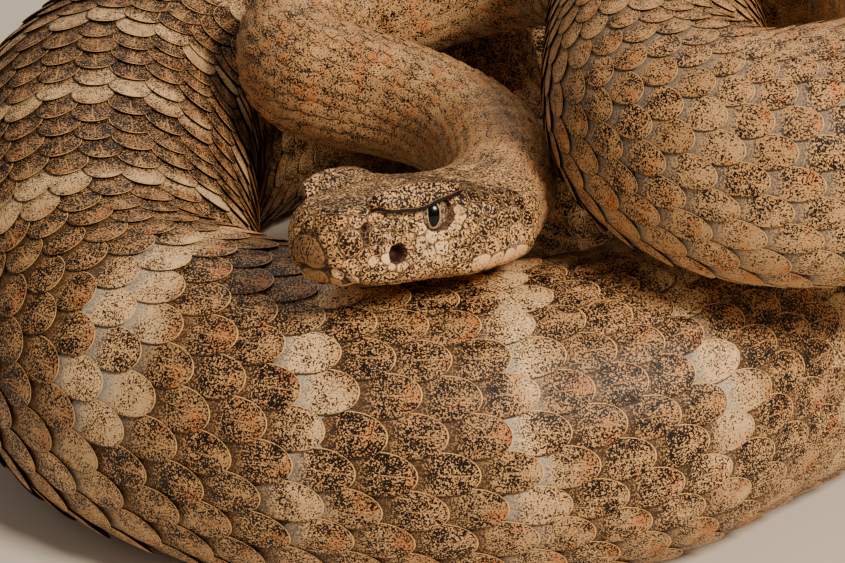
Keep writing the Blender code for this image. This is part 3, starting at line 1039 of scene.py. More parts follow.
def flat_sheet(columns: int, rows: int, outline: Outline) -> Shape:
    """A thin closed form over a shaped grid: its top is at height 0 and its underside at -1.

    Args:
        columns: Faces across it.
        rows: Faces along it.
        outline: From places across (-1 to 1) and along (0 to 1) to the sheet's own x and y.

    Returns:
        The form.
    """
    bpy.ops.object.select_all(action="DESELECT")
    bpy.ops.mesh.primitive_grid_add(x_subdivisions=columns, y_subdivisions=rows, size=2)
    sheet = bpy.context.object
    bpy.ops.object.mode_set(mode="EDIT")
    bpy.ops.mesh.select_all(action="SELECT")
    bpy.ops.mesh.extrude_region_move(TRANSFORM_OT_translate={"value": (0, 0, 1)})
    bpy.ops.object.mode_set(mode="OBJECT")
    for face in sheet.data.polygons:
        face.select = abs(face.normal.z) > 0.5 and face.center.z < 0.5
    bpy.ops.object.mode_set(mode="EDIT")
    bpy.ops.mesh.dissolve_faces()
    bpy.ops.object.mode_set(mode="OBJECT")
    face_outwards()
    form = Shape.taken(sheet)
    form.places = (form.points[:, :2] + 1) / 2
    x, y = outline(form.points[:, 0], form.places[:, 1])
    form.points = np.stack([x, y, form.points[:, 2] - 1], 1)
    return form


def ovate(x: np.ndarray, y: np.ndarray) -> tuple[np.ndarray, np.ndarray]:
    """A scale with a narrow root, widest at its middle, whose hind half is rounded like half an egg.

    Args:
        x: Places across the sheet.
        y: Places along it.

    Returns:
        The same points on the scale.
    """
    middle, widest, narrow = 0.4, 0.46, 0.70      # on the sheet, on the scale, and the root's width
    tip = np.clip((y - middle) / (1 - middle), 0, 1)
    root = np.clip(y / middle, 0, 1)
    wide = np.where(y > middle, np.sqrt(1 - tip**2 / 2), narrow + (1 - narrow) * np.sin(root * math.pi / 2))
    along = np.where(y > middle, widest + (1 - widest) * tip * np.sqrt(1 - x**2 / 2), widest * root)
    return x * wide, along


def strap(x: np.ndarray, y: np.ndarray) -> tuple[np.ndarray, np.ndarray]:
    """A belly plate: as wide as the belly, with rounded ends."""
    return x * (1 - 0.04 * (2 * y - 1) ** 4), y * (1 - 0.16 * x**4)


@dataclass
class Skin:
    """The one skin of head, neck, trunk and tail, inside the solids by the depth of the coat."""

    body: Body
    around: int = 128               # points round a ring
    body_step: float = 2.6          # between two rings
    head_step: float = 0.34
    head_end: float = 33.0
    mouth_depth: float = 0.5
    mouth_width: float = 0.30
    mouth_end: Row = (26.0, 27.8)
    pit_place: Row = (8.45, 7.7, -1.2)      # behind the snout, to the side, up
    pit_radius: float = 1.12
    pit_depth: float = 2.0
    nostril_place: Row = (4.4, 6.1, 2.7)
    nostril_radius: float = 0.40
    nostril_depth: float = 1.3
    slot_back: float = 4.45         # the groove below the nostril
    slot_width: float = 0.24
    slot_depth: float = 0.45
    slot_foot: Row = (-0.2, 0.3)
    slot_top: Row = (2.2, 2.7)
    socket_radius: float = 2.42
    socket_lip: float = 0.25
    flank: float = 4                # nostril and eye lie farther to the side than this

    def runs(self) -> np.ndarray:
        """Where the rings lie: close together on the head."""
        front = SNOUT_ROUNDING * (1 - np.cos(np.linspace(0.12, 1.25, 16)))
        head = np.arange(front[-1] + self.head_step, self.head_end, self.head_step)
        trunk = np.arange(head[-1] + 1.0, self.body.length - 1.0, self.body_step)
        return np.concatenate([front, head, trunk, [self.body.length - 0.7]])

    def sculpted(self, points: np.ndarray, out: np.ndarray,
                 run: np.ndarray) -> tuple[np.ndarray, np.ndarray]:
        """Works the mouth, pits, nostrils and eye sockets into points on the head.

        Args:
            points: Points on the skin.
            out: The outward direction at each.
            run: The distance from the snout of each.

        Returns:
            The moved points, and how much painted shade each gets in its hollow, from 0 to 1.
        """
        back, side, up = self.body.in_head(points)
        on_head, sideways = run < HEAD_REACH, np.abs(side) > self.flank
        mouth = read(MOUTH, 1, np.clip(back, -3, 28))
        closed = (1 - smooth(back, *self.mouth_end)) * on_head
        line = np.exp(-((up - mouth) / self.mouth_width) ** 2) * closed
        sunk = self.mouth_depth * line
        # Painted shade: the mouth line, the pits, the nostrils and the eye sockets are darkened.
        shade_in_hollows = np.clip(line * 0.8, 0, 1)
        for place, radius, depth in ((self.pit_place, self.pit_radius, self.pit_depth),
                                     (self.nostril_place, self.nostril_radius, self.nostril_depth)):
            away = np.sqrt((back - place[0]) ** 2 + (np.abs(side) - place[1]) ** 2 + (up - place[2]) ** 2)
            hole = np.exp(-(away / radius) ** 4) * on_head
            sunk = sunk + depth * hole
            shade_in_hollows = np.maximum(shade_in_hollows, np.clip(hole * 2, 0, 1))
        slot = (np.exp(-((back - self.slot_back) / self.slot_width) ** 4) * smooth(up, *self.slot_foot)
                * (1 - smooth(up, *self.slot_top)) * on_head)
        sunk = sunk + self.slot_depth * slot * sideways
        moved = points - out * sunk[..., None]
        ring = np.sqrt((back - EYE_BACK) ** 2 + (up - EYE_UP) ** 2)
        bowl = EYE_SIDE - np.sqrt(np.clip(self.socket_radius**2 - ring**2, 0, None))
        inside = on_head & (ring < self.socket_radius - self.socket_lip) & sideways
        shift = np.where(inside, bowl - np.abs(side), 0) * np.sign(side)
        _, _, left, _ = self.body.head_frame()
        moved = moved + left * shift[..., None]
        return moved, np.maximum(shade_in_hollows, inside * 0.9)

    def build(self) -> bpy.types.Object:
        """The skin as one closed mesh."""
        runs = self.runs()
        around = np.linspace(-1, 1, self.around, endpoint=False)
        run, turn = np.meshgrid(runs, around, indexing="ij")
        depth = np.interp(run, self.body.run, self.body.depth)
        points = self.body.surface(run, turn, -depth)
        out = self.body.sample(self.body.normals, run, turn)
        points, shade_in_hollows = self.sculpted(points, out, run)
        values = np.stack([self.body.band(run), turn, shade_in_hollows], -1).reshape(-1, 3)
        ends = np.array([points[0].mean(0), points[-1].mean(0)])
        every = np.concatenate([points.reshape(-1, 3), ends])
        values = np.concatenate([values, [[self.body.bands[0], 0, 0], [self.body.bands[-1], 0, 0]]])
        count, size = points.shape[:2]
        k = np.arange(size)
        after = (k + 1) % size
        faces = []
        for i in range(count - 1):
            low, high = i * size, (i + 1) * size
            faces += np.stack([low + k, high + k, high + after, low + after], 1).tolist()
        faces += np.stack([np.full(size, count * size), k, after], 1).tolist()
        last = (count - 1) * size
        faces += np.stack([np.full(size, count * size + 1), last + after, last + k], 1).tolist()
        piece = made_of("skin", every, faces)
        face_outwards()
        bpy.ops.object.shade_smooth()
        carry(piece, values)
        return piece


@dataclass(frozen=True)
class Zone:
    """A stretch of the body with one number of rows of scales."""

    start: float
    end: float
    rows: int


@dataclass
class DorsalScales:
    """The keeled scales of back and flanks, in rows that lie along the body."""

    body: Body
    first: float = 28.0          # where the rows begin, from the snout
    share: float = SCALED        # of the way round that the rows cover
    wide: float = 0.61           # half a scale's width, in rows
    long: float = 1.62           # a scale's length, in scales of its row where the body is straight
    least: float = 1.16          # its least length, where a bend draws the row out
    most: float = 2.3            # its greatest, where a bend crowds the row
    thick: float = 0.5           # in depths of the coat
    foot: float = 1.08           # how deep its root lies, in depths of the coat
    rise: float = 1.50           # how far its tip stands over its root
    uneven: float = 0.3          # how much that may differ from one scale to another
    slope: Row = (-0.25, 1.15)   # where along the scale the rise begins and ends
    wall: float = 1.3            # how far out a scale's foot is mapped, so that its finish paints shade on the wall
    dome: float = 0.34           # how far its sides lie under its middle, in depths of the coat
    flare: float = 0.07          # how much narrower its underside is
    loose: float = 0.12          # how far a scale may be turned, in rows
    slip: float = 0.08           # and how far slipped, in scales
    outer_rows: Row = (1.3, 1.12)       # widths of the lowest two rows, in rows
    fore_vent: float = 60.0      # where the rows become fewer before the vent
    tail_end: float = 34.0       # and before the rattle
    seed: int = 5
    # The joined pieces, and the distance from the snout where each ends
    stretches: tuple[tuple[str, float], ...] = (
        ("scales_neck", 150.0), ("scales_upper_coil", 400.0), ("scales_back", 560.0),
        ("scales_front", 700.0), ("scales_tail", math.inf))

    def zones(self) -> list[Zone]:
        """The stretches, with fewer rows where the body narrows to the tail."""
        end = self.body.length
        vent = end - TAIL_LENGTH
        fore, rear = vent - self.fore_vent, end - self.tail_end
        return [Zone(self.first, fore, 21), Zone(fore, vent, 17), Zone(vent, rear, 13),
                Zone(rear, end - 0.8, 11)]

    def rows(self, count: int) -> tuple[np.ndarray, np.ndarray]:
        """The rows, round the body.

        Args:
            count: How many there are.

        Returns:
            The middle and the width of each.
        """
        widths = np.ones(count)
        for k, width in enumerate(self.outer_rows):
            widths[[k, -1 - k]] = width
        widths *= 2 * self.share / widths.sum()
        return np.cumsum(widths) - widths / 2 - self.share, widths

    def lattice(self) -> np.ndarray:
        """For each scale: its order along the body, its place round it, its row's width, a random tone."""
        made = []
        for zone in self.zones():
            middles, widths = self.rows(zone.rows)
            low, high = (np.interp(x, self.body.run, self.body.order) for x in (zone.start, zone.end))
            for row, (middle, width) in enumerate(zip(middles, widths)):
                first = math.ceil(low - (row % 2) / 2)
                for order in np.arange(first + (row % 2) / 2, high - 0.75, 1.0):
                    if order >= low:
                        made.append((order, middle, width))
        made = np.array(made)
        return np.concatenate([made, np.random.default_rng(self.seed).random((len(made), 4))], axis=1)

    def placed(self, form: Shape, rows: np.ndarray) -> tuple[np.ndarray, np.ndarray]:
        """The points of each scale, and what its finish reads there.

        Args:
            form: The scale that is repeated.
            rows: The scales of one piece, as lattice() gives them.

        Returns:
            Points and values, for each scale and each point of the form.
        """
        order, middle, width, tone, tilt, slip, turn = rows.T
        stretch = self.body.sample(self.body.stretch, self.body.at_order(order + 0.5), middle)
        long = np.clip(self.long / np.maximum(stretch, 0.2), self.least, self.most)
        x, y, z = form.points.T
        inset = 1 + self.flare * z
        root = order + (slip - 0.5) * self.slip
        along = root[:, None] + y[None] * inset * long[:, None]
        run = self.body.at_order(along)
        sway = (turn - 0.5)[:, None] * self.loose * y[None]
        around = middle[:, None] + (x[None] * inset * self.wide + sway) * width[:, None]
        depth = np.interp(run, self.body.run, self.body.depth)
        rise = self.rise + (tilt - 0.5)[:, None] * self.uneven
        dome = -self.dome * x[None] ** 2 * (1 - 0.3 * y[None])
        high = -self.foot + rise * smooth(y, *self.slope)[None]
        lift = depth * (high + dome + z[None] * self.thick)
        points = self.body.surface(run, around, lift)
        held = self.body.at_order(order + 0.75)[:, None]
        values = np.stack([self.body.band(0.45 * run + 0.55 * held), around,
                           np.broadcast_to(tone[:, None], around.shape)], -1)
        return points, values

    def bake_places(self, form: Shape, rows: np.ndarray) -> np.ndarray:
        """A patch for each scale, at its root's place on the unrolled skin.

        Args:
            form: The scale that is repeated.
            rows: The scales of one piece, as lattice() gives them.

        Returns:
            The place of each corner of each face.
        """
        corners, flat = form.corners(), form.flat()
        spot, under = form.points[corners], form.beneath()[corners]
        order, middle, width = rows[:, 0], rows[:, 1], rows[:, 2]
        low, span = order.min(), np.ptp(order) + 1.2
        x = np.where(flat, 0.80 + 0.12 * spot[:, 0], spot[:, 0] * np.where(under, 0.98, 0.90))
        y = np.where(flat, 0.03 + 0.05 * spot[:, 1], spot[:, 1] * np.where(under, 0.92, 0.88) + 0.02)
        u = (middle[:, None] + x[None] * 0.46 * width[:, None]) / (2 * self.share) + 0.5
        v = 0.01 + (order[:, None] - low + y[None] * 0.94) / span * 0.97
        return np.stack([0.01 + u * 0.98, v], -1)

    def build(self) -> list[bpy.types.Object]:
        """The coat of back and flanks, as one joined mesh for each stretch."""
        form = flat_sheet(6, 5, ovate)
        grid = self.lattice()
        run, start, pieces = self.body.at_order(grid[:, 0]), 0.0, []
        reach = np.where(form.beneath(), self.wall, 1.0)[:, None]
        on_scale = ((form.places - (0.5, 0)) * reach + (0.5, 0))[form.corners()]
        for name, end in self.stretches:
            rows = grid[(run >= start) & (run < end)]
            points, values = self.placed(form, rows)
            piece = form.joined(name, points)
            carry(piece, values, Scale=np.tile(on_scale, (len(rows), 1)),
                  OFBake=self.bake_places(form, rows))
            pieces.append(piece)
            start = end
        return pieces


@dataclass
class BellyPlates:
    """The broad plates under the body, one to each scale of a row."""

    body: Body
    share: float = SCALED
    under: float = 0.012         # how far the plates reach under the lowest scales
    first: float = 30.0          # where the plates begin, from the snout
    long: float = 1.28           # a plate's length, in scales of a row
    thick: float = 0.45          # in depths of the coat
    dome: float = 0.25           # how far its ends lie under its middle, in depths of the coat
    seed: int = 8

    def build(self) -> bpy.types.Object:
        """The belly as one joined mesh."""
        form = flat_sheet(12, 3, strap)
        ends = (self.first, self.body.length - 1)
        low, high = np.interp(ends, self.body.run, self.body.order)
        order = np.arange(math.ceil(low), high - 0.9, 1.0) + 0.5
        tone = np.random.default_rng(self.seed).random(len(order))
        x, y, z = form.points.T
        along = order[:, None] + y[None] * (1 + 0.05 * z) * self.long
        run = self.body.at_order(along)
        half = 1 - self.share + self.under
        around = np.broadcast_to(1 + x[None] * half * (1 + 0.01 * z), run.shape)
        depth = np.interp(run, self.body.run, self.body.depth)
        lift = depth * (-1.05 + 1.2 * smooth(y, -0.2, 1.1) - self.dome * x**4 + z * self.thick)[None]
        piece = form.joined("belly_plates", self.body.surface(run, around, lift))
        values = np.stack([along, np.ones_like(along), np.broadcast_to(tone[:, None], along.shape)], -1)
        corners = form.corners()
        spot = form.points[corners]
        u = np.where(form.flat(), 0.955 + 0.03 * spot[:, 0], 0.47 + 0.44 * spot[:, 0])
        v = (np.arange(len(order))[:, None] + 0.06 + 0.86 * spot[None, :, 1]) / len(order)
        carry(piece, values, Scale=np.tile(form.places[corners], (len(order), 1)),
              OFBake=np.stack([np.broadcast_to(u, v.shape), v], -1))
        return piece


@dataclass
class Shield:
    """The place and size of one head shield, or of a gap that shields keep clear of."""

    back: float                 # behind the snout
    up: float
    radius: float
    pale: float = 0.3           # -1 brown, 0 tan, 1 cream
    dense: float = 0.4          # how thickly it is flecked
    reach: float = 1.8          # how far it may spread, in radii
    solid: bool = True


@dataclass
class HeadShields:
    """The small shields of the head: fixed ones at lips, nose, pits and eyes, and granules between them."""

    body: Body
    end: float = HEAD_LENGTH
    corners: int = 12
    gap: float = 0.014           # half the groove between two shields
    edge: float = 0.08           # how far a shield's rim stands over the skin
    dome: float = 0.085          # how far its middle stands over its rim, in radii
    bluntness: float = 14.0      # how square the corners of a shield are
    rounds: int = 7              # of evening out the granules
    usual: float = 0.9           # the radius of a shield whose rim is drawn as it is mapped
    crowding: float = 0.86       # how close granules may lie, as a share of their radii
    eye_ring: float = 2.75       # radius of the ring of shields round the eye
    pit_ring: float = 1.8        # and round the pit
    brow_side: float = 6.6       # the height of the line of gaps under the brow
    throat: float = 2.4          # between two granules there
    under: float = 0.22          # how far its foot lies under the skin
    head_faces: int = 16000      # of the skin, from the snout
    seed: int = 11
    rings: Row = (1.0, 0.93, 0.70, 0.36)        # of a shield's points, in radii
    lips: Row = (2.5, 5.0, 7.6, 10.2, 12.8, 15.3, 17.7, 20.0, 22.2, 24.3, 26.3)
    chins: Row = (2.2, 4.6, 7.2, 9.8, 12.4, 15.0, 17.5, 19.9, 22.2, 24.4, 26.5)

    def lip(self, back: float) -> float:
        """The height of the mouth line."""
        return float(read(MOUTH, 1, np.array([back]))[0])

    def fixed(self) -> list[Shield]:
        """The shields and gaps whose places are known, for one side of the head."""
        pit_back, _, pit_up = Skin.pit_place
        made = [Shield(EYE_BACK, EYE_UP, 2.05, solid=False), Shield(pit_back, pit_up, 1.1, solid=False),
                Shield(4.4, 2.6, 0.4, solid=False), Shield(4.45, 1.2, 0.3, solid=False),
                Shield(2.5, 1.0, 1.6, 0.0, 0.66, 1.2), Shield(5.5, 1.4, 0.95, 0.25, 0.6),
                Shield(1.6, 3.6, 1.2, 0.05, 0.62), Shield(5.1, -1.5, 0.55, 0.4, 0.3),
                Shield(6.9, -1.4, 0.8, 0.85, 0.08, 1.3), Shield(7.7, -2.6, 0.45, 0.55, 0.25, 1.3)]
        for back in self.lips:
            rear = float(smooth(np.array(back), 17.5, 20.5))
            up = self.lip(back) + 1.15 + 0.45 * rear
            made.append(Shield(back, up, 1.2 + 0.35 * rear, 0.25 + 0.10 * rear, 0.56 - 0.42 * rear))
        for back in self.chins:
            # The chin shields are browner towards the snout, partly as painted shade under the jaw.
            made.append(Shield(back, self.lip(back) - 0.95, 0.9, -0.45 + 0.035 * back, 0.12))
        for k in range(11):
            angle = math.radians(34.5 * k)
            up, back = EYE_UP + self.eye_ring * math.sin(angle), EYE_BACK + self.eye_ring * math.cos(angle)
            if up < 4.4:
                made.append(Shield(back, up, 0.66, 0.6 if up < 2.6 and back < 16 else 0.35, 0.42))
        for k in range(6):
            angle = math.radians(42 * k - 62)
            up, back = pit_up + self.pit_ring * math.sin(angle), pit_back + self.pit_ring * math.cos(angle)
            made.append(Shield(back, up, 0.75, 0.35, 0.5))
        for back in np.arange(8.2, 18.6, 1.2):
            made.append(Shield(back, self.brow_side, 1.0, solid=False))
        return made

    def ground(self) -> tuple[np.ndarray, np.ndarray, np.ndarray]:
        """Samples of the head's outline: their places, directions and areas."""
        last = round(self.end / Body.STEP)
        points, out = self.body.rings[1:last], self.body.normals[1:last]
        area = np.repeat(self.body.perimeter[1:last], Body.AROUND)
        share = np.linspace(0.1, 0.9, 5)[:, None, None]     # the flat front of the snout
        front = points[:1] * share + self.body.centre[0] * (1 - share)
        facing = out[:1] * share - self.body.tangent[0] * (1 - share)
        points = np.concatenate([front.reshape(-1, 3), points.reshape(-1, 3)])
        out = np.concatenate([facing.reshape(-1, 3), out.reshape(-1, 3)])
        area = np.concatenate([np.repeat(self.body.perimeter[1] * share.ravel(), Body.AROUND), area])
        return points, out, area / area.mean()

    def spacing(self, points: np.ndarray, out: np.ndarray) -> np.ndarray:
        """How far apart granules lie: least on the crown, more on cheeks and throat.

        Args:
            points: Places on the head.
            out: The outward direction at each.

        Returns:
            A distance for each place.
        """
        back, _, _ = self.body.in_head(points)
        rise = out @ self.body.head_frame()[3]
        crown = np.interp(back, [0, 4, 8, 16, 30], [2.3, 2.0, 1.45, 1.55, 2.1])
        cheek = np.interp(back, [0, 8, 16, 30], [1.5, 1.35, 1.75, 2.35])
        top = smooth(rise, 0.45, 0.8)
        below = smooth(-rise, 0.3, 0.7)
        return (crown * top + cheek * (1 - top)) * (1 - below) + self.throat * below

    def look(self, place: np.ndarray) -> tuple[float, float]:
        """How pale and how flecked a granule is.

        Args:
            place: Its place on the head.

        Returns:
            Its paleness and how thickly it is flecked, as a Shield has them.
        """
        back, _, up = (float(x) for x in self.body.in_head(place))
        above = up - self.lip(min(max(back, -3), 27))
        if above < 0:
            return 0.45, 0.25
        stripe = 5.5 - 0.4 * (back - 18.5)
        if 17 < back < 27.5 and abs(up - stripe) < 1.6:
            return -0.1, 0.84
        if up > 4.2 or (back > 19 and up > 3.0):
            return 0.22, 0.72 - 0.12 * float(smooth(np.array(back), 18, 27))
        if back > 16:
            return 0.20, 0.68 if up > 0.2 else 0.56
        if back > 9.5 and up < 2.4:
            return (0.70, 0.42) if back < 15 and up > -2.2 else (0.35, 0.56)
        return (0.35, 0.58) if back > 6 else (0.05, 0.64)

    def seeds(self) -> tuple[np.ndarray, np.ndarray, np.ndarray, np.ndarray]:
        """Every shield's place, radius, and look (pale, dense, reach, solid)."""
        points, out, area = self.ground()
        back, side, up = self.body.in_head(points)
        tree = KDTree(len(points))
        for i, point in enumerate(points):
            tree.insert(point, i)
        tree.balance()
        at, looks = [], []
        for side_of in Side:
            flank = np.where(np.sign(side) == side_of.value, 0, 1e3)
            for shield in self.fixed():
                at.append(np.argmin((back - shield.back) ** 2 + (up - shield.up) ** 2 + flank))
                looks.append((shield.radius, shield.pale, shield.dense, shield.reach, shield.solid))
        # The middle shields of the snout and the chin: height, radius, paleness, reach. Their brown is
        # partly painted shade.
        for place, radius, tone, reach in ((-0.5, 3.0, -0.55, 1.35), (-3.7, 2.5, -0.5, 0.9)):
            at.append(np.argmin((up - place) ** 2 + side**2 + back**2 * 0.4))
            looks.append((radius, tone, 0.34, reach, True))
        centres, looks, loose = points[at], np.array(looks, float), []
        radii = looks[:, 0]
        space = self.spacing(points, out)
        for i in np.random.default_rng(self.seed).permutation(len(points)):
            away = np.linalg.norm(centres - points[i], axis=1)
            if np.all(away > (space[i] / 2 + radii) * self.crowding):
                centres = np.vstack([centres, points[i]])
                radii = np.append(radii, space[i] / 2)
                loose.append(len(centres) - 1)
        for _ in range(self.rounds):
            power = (np.sum(points**2, 1)[:, None] + np.sum(centres**2, 1)[None] - 2 * points @ centres.T
                     - radii[None] ** 2)
            owner = np.argmin(power, axis=1)
            for k in loose:
                mine = owner == k
                if mine.any():
                    middle = np.average(points[mine], axis=0, weights=area[mine])
                    centres[k] = points[tree.find(middle)[1]]
        more = [(radii[k], *self.look(centres[k]), Shield.reach, True) for k in loose]
        looks = np.vstack([looks, more])
        return centres, looks[:, 0], looks[:, 1:3], looks[:, 3:]

    def angles(self) -> np.ndarray:
        """The directions of a shield's corners."""
        return 2 * math.pi * np.arange(self.corners) / self.corners

    def outline(self, centres: np.ndarray, radii: np.ndarray, reach: float, k: int,
                basis: np.ndarray) -> np.ndarray:
        """How far a shield reaches towards each of its corners, up to its neighbours.

        Args:
            centres: The places of all shields.
            radii: Their radii.
            reach: How far this one may spread, in radii.
            k: Its number.
            basis: Its first, second and outward direction.

        Returns:
            A distance for each corner.
        """
        away = centres - centres[k]
        near = np.flatnonzero((np.linalg.norm(away, axis=1) < 2.4 * (radii + radii[k])) &
                              (np.arange(len(centres)) != k))
        flat = away[near] @ basis[:2].T
        span = np.maximum(np.linalg.norm(flat, axis=1), 1e-6)
        wall = (span**2 + radii[k] ** 2 - radii[near] ** 2) / (2 * span) - self.gap
        wall = np.maximum(wall, 0.3 * radii[k])
        facing = np.maximum(np.cos(self.angles()[:, None] - np.arctan2(flat[:, 1], flat[:, 0])[None]), 0)
        pull = np.sum((facing / wall[None]) ** self.bluntness, axis=1)
        return (pull + (1 / (reach * radii[k])) ** self.bluntness) ** (-1 / self.bluntness)

    def build(self, skin: bpy.types.Object) -> bpy.types.Object:
        """The shields as one joined mesh that lies on the skin.

        Args:
            skin: The finished skin.

        Returns:
            The new object.
        """
        centres, radii, looks, limits = self.seeds()
        head = skin.data.polygons[:self.head_faces]
        ground = BVHTree.FromPolygons([v.co / MM for v in skin.data.vertices],
                                      [tuple(face.vertices) for face in head])
        form = self.form()
        share, number = form.points[:, 0], form.points[:, 1].astype(int)
        turn = self.angles()[number]
        solid = np.flatnonzero(limits[:, 1] > 0.5)
        every = np.empty((len(solid), len(form.points), 3))
        spread = np.empty(len(solid))
        axis = self.body.head_frame()[1]
        for row, k in enumerate(solid):
            spot, out, _, _ = ground.find_nearest(centres[k])
            out = np.array(out)
            first = axis - out * (axis @ out)
            first /= np.linalg.norm(first)
            basis = np.stack([first, np.cross(out, first), out])
            far = self.outline(centres, radii, limits[k, 0], k, basis)
            reach = far[number] * share
            flat = np.array(spot) + (basis[0] * (reach * np.cos(turn))[:, None]
                                     + basis[1] * (reach * np.sin(turn))[:, None])
            spread[row] = far.mean()
            bulge = self.dome * min(spread[row], 2.2) * (1 - share**2.4)
            lift = np.where(form.beneath(), -self.under, self.edge + bulge)
            for i, (point, high) in enumerate(zip(flat, lift)):
                near, facing, _, _ = ground.find_nearest(point)
                every[row, i] = np.array(near) + (0.6 * np.array(facing) + 0.4 * out) * high
        piece = form.joined("head_shields", every)
        tone = np.random.default_rng(self.seed + 1).random(len(solid))
        values = np.stack([looks[solid, 0], looks[solid, 1], tone], -1)
        ring, number, _ = form.points[form.corners()].T
        rim = 1 - (1 - ring)[None] * spread[:, None] / self.usual
        carry(piece, np.repeat(values, len(form.points), axis=0),
              Scale=np.stack([rim, np.broadcast_to(number / self.corners, rim.shape)], -1),
              OFBake=self.bake_places(form, centres[solid]))
        return piece

    def form(self) -> Shape:
        """A domed closed plate. Its points hold ring (0 to 1), corner number, and -1 on the underside."""
        n, rings = self.corners, self.rings
        points = [(1.0, k, -1.0) for k in range(n)]
        points += [(ring, k, 0.0) for ring in rings for k in range(n)]
        points.append((0.0, 0, 0.0))
        faces = [tuple(range(n))[::-1]]
        for level in range(len(rings)):
            low, high = level * n, (level + 1) * n
            faces += [(low + k, low + (k + 1) % n, high + (k + 1) % n, high + k) for k in range(n)]
        top = len(rings) * n
        faces += [(top + k, top + (k + 1) % n, len(points) - 1) for k in range(n)]
        return Shape(np.array(points), faces)

    def bake_places(self, form: Shape, centres: np.ndarray) -> np.ndarray:
        """A round patch for each shield, in rows from the snout backwards.

        Args:
            form: The shield that is repeated.
            centres: The places of the solid shields.

        Returns:
            The place of each corner of each face.
        """
        back, side, up = self.body.in_head(centres)
        turn = np.arctan2(side, up)
        across = math.ceil(math.sqrt(len(centres)))
        down = math.ceil(len(centres) / across)
        order = np.argsort(back)
        cell = np.empty((len(centres), 2))
        for row in range(down):
            members = order[row * across:(row + 1) * across]
            members = members[np.argsort(turn[members])]
            cell[members] = np.stack([np.arange(len(members)), np.full(len(members), row)], 1)
        ring, number, under = form.points[form.corners()].T
        base = form.flat()
        reach = np.where(base, 0.07, np.where(under < 0, 0.47, 0.42 * ring))
        middle = np.where(base, 0.92, 0.5)
        angle = self.angles()[number.astype(int)]
        u = (cell[:, 0, None] + middle + reach * np.cos(angle)) / across
        v = (cell[:, 1, None] + middle + reach * np.sin(angle)) / down
        return np.stack([u, v], -1)


@dataclass
class BrowShields:
    """The raised plate over each eye, whose outer edge overhangs it."""

    body: Body
    start: float = 5.7
    end: float = 18.3
    # Distance from the snout, then the edges' places round the body and the height over the crown
    inner: tuple[Row, ...] = ((5.5, 0.245), (8, 0.20), (13, 0.135), (16, 0.15), (18.5, 0.26))
    outer: tuple[Row, ...] = ((5.5, 0.285), (7.6, 0.365), (10.5, 0.378), (13.5, 0.350), (16.5, 0.322),
                              (18.5, 0.29))
    crest: tuple[Row, ...] = ((5.5, 0.6), (6.1, 1.9), (7.2, 2.0), (10, 1.2), (13, 0.6), (17, 0.2),
                              (18.5, 0.0))
    overhang: float = 0.75
    thick: float = 0.8
    shadow: float = 2.1          # how far out the lower edge is mapped, so that its finish is dark there

    def build(self, side: Side) -> bpy.types.Object:
        """The plate on one side.

        Args:
            side: The side of the head.

        Returns:
            The new object.
        """
        form = flat_sheet(26, 8, lambda x, y: (x, y))
        x, out, under = form.points.T
        run = (self.start + self.end) / 2 + x * (self.end - self.start) / 2
        inner, outer = read(self.inner, 1, run), read(self.outer, 1, run)
        around = side.value * (inner + (outer - inner) * out)
        ends = np.clip(1 - x**8, 0, 1)
        high = read(self.crest, 1, run) * smooth(out, 0.0, 0.8) * (1 - 0.35 * smooth(out, 0.85, 1.0))
        buried = smooth(out, 0.9, 0.6)
        points = self.body.surface(run, around, 0.10 * ends * smooth(out, 0, 0.1) - 0.15 * (1 - ends))
        _, _, left, up = self.body.head_frame()
        hang = self.overhang * smooth(out, 0.5, 1.0) * ends
        points = points + side.value * left * hang[:, None]
        points = points + up * (high * (1 + under * buried) + under * (self.thick + 0.2 * buried))[:, None]
        piece = form.joined("brow_" + side.name.lower(), points[None])
        # Painted shadow: towards the overhang's lower outer edge the plate is browner and more densely
        # flecked.
        edge = -under * smooth(out, 0.5, 1.0)
        values = np.stack([0.2 - 1.2 * edge, 0.66 + 0.3 * edge, np.full(len(points), 0.45)], 1)
        corners = form.corners()
        spot = form.places[corners]
        wall = 0.5 + (spot - 0.5) * np.where(form.beneath()[corners], 0.98, 0.90)[:, None]
        carry(piece, values, Scale=np.stack([self.shadow * edge[corners], out[corners]], 1),
              OFBake=np.where(form.flat()[:, None], 0.86 + 0.12 * spot, wall * 0.84))
        if side is Side.LEFT:
            piece.data.flip_normals()
        return piece


@dataclass
class Eyes:
    """The eyes, with an upright slit."""

    body: Body
    forward: float = 0.60        # how far the gaze is turned towards the snout
    raised: float = 0.10         # and up

    def build(self, side: Side) -> tuple[bpy.types.Object, bpy.types.Material]:
        """One eyeball.

        Args:
            side: The side of the head.

        Returns:
            The new object and its finish.
        """
        _, axis, left, up = self.body.head_frame()
        centre = self.body.head_point(EYE_BACK, side.value * EYE_SIDE, EYE_UP)
        gaze = side.value * left - axis * self.forward + up * self.raised
        gaze /= np.linalg.norm(gaze)
        upright = up - gaze * (up @ gaze)
        upright /= np.linalg.norm(upright)
        bpy.ops.object.select_all(action="DESELECT")
        bpy.ops.mesh.primitive_uv_sphere_add(segments=48, ring_count=28, radius=EYE_RADIUS * MM)
        ball = bpy.context.object
        ball.name = ball.data.name = "eyeball_" + side.name.lower()
        for vertex in ball.data.vertices:
            vertex.co = vertex.co + Vector(centre * MM)
        bpy.ops.object.shade_smooth()
        finish = EyeFinish("eye " + side.name.lower(), tuple(centre), tuple(gaze), tuple(upright))
        return ball, finish.make()


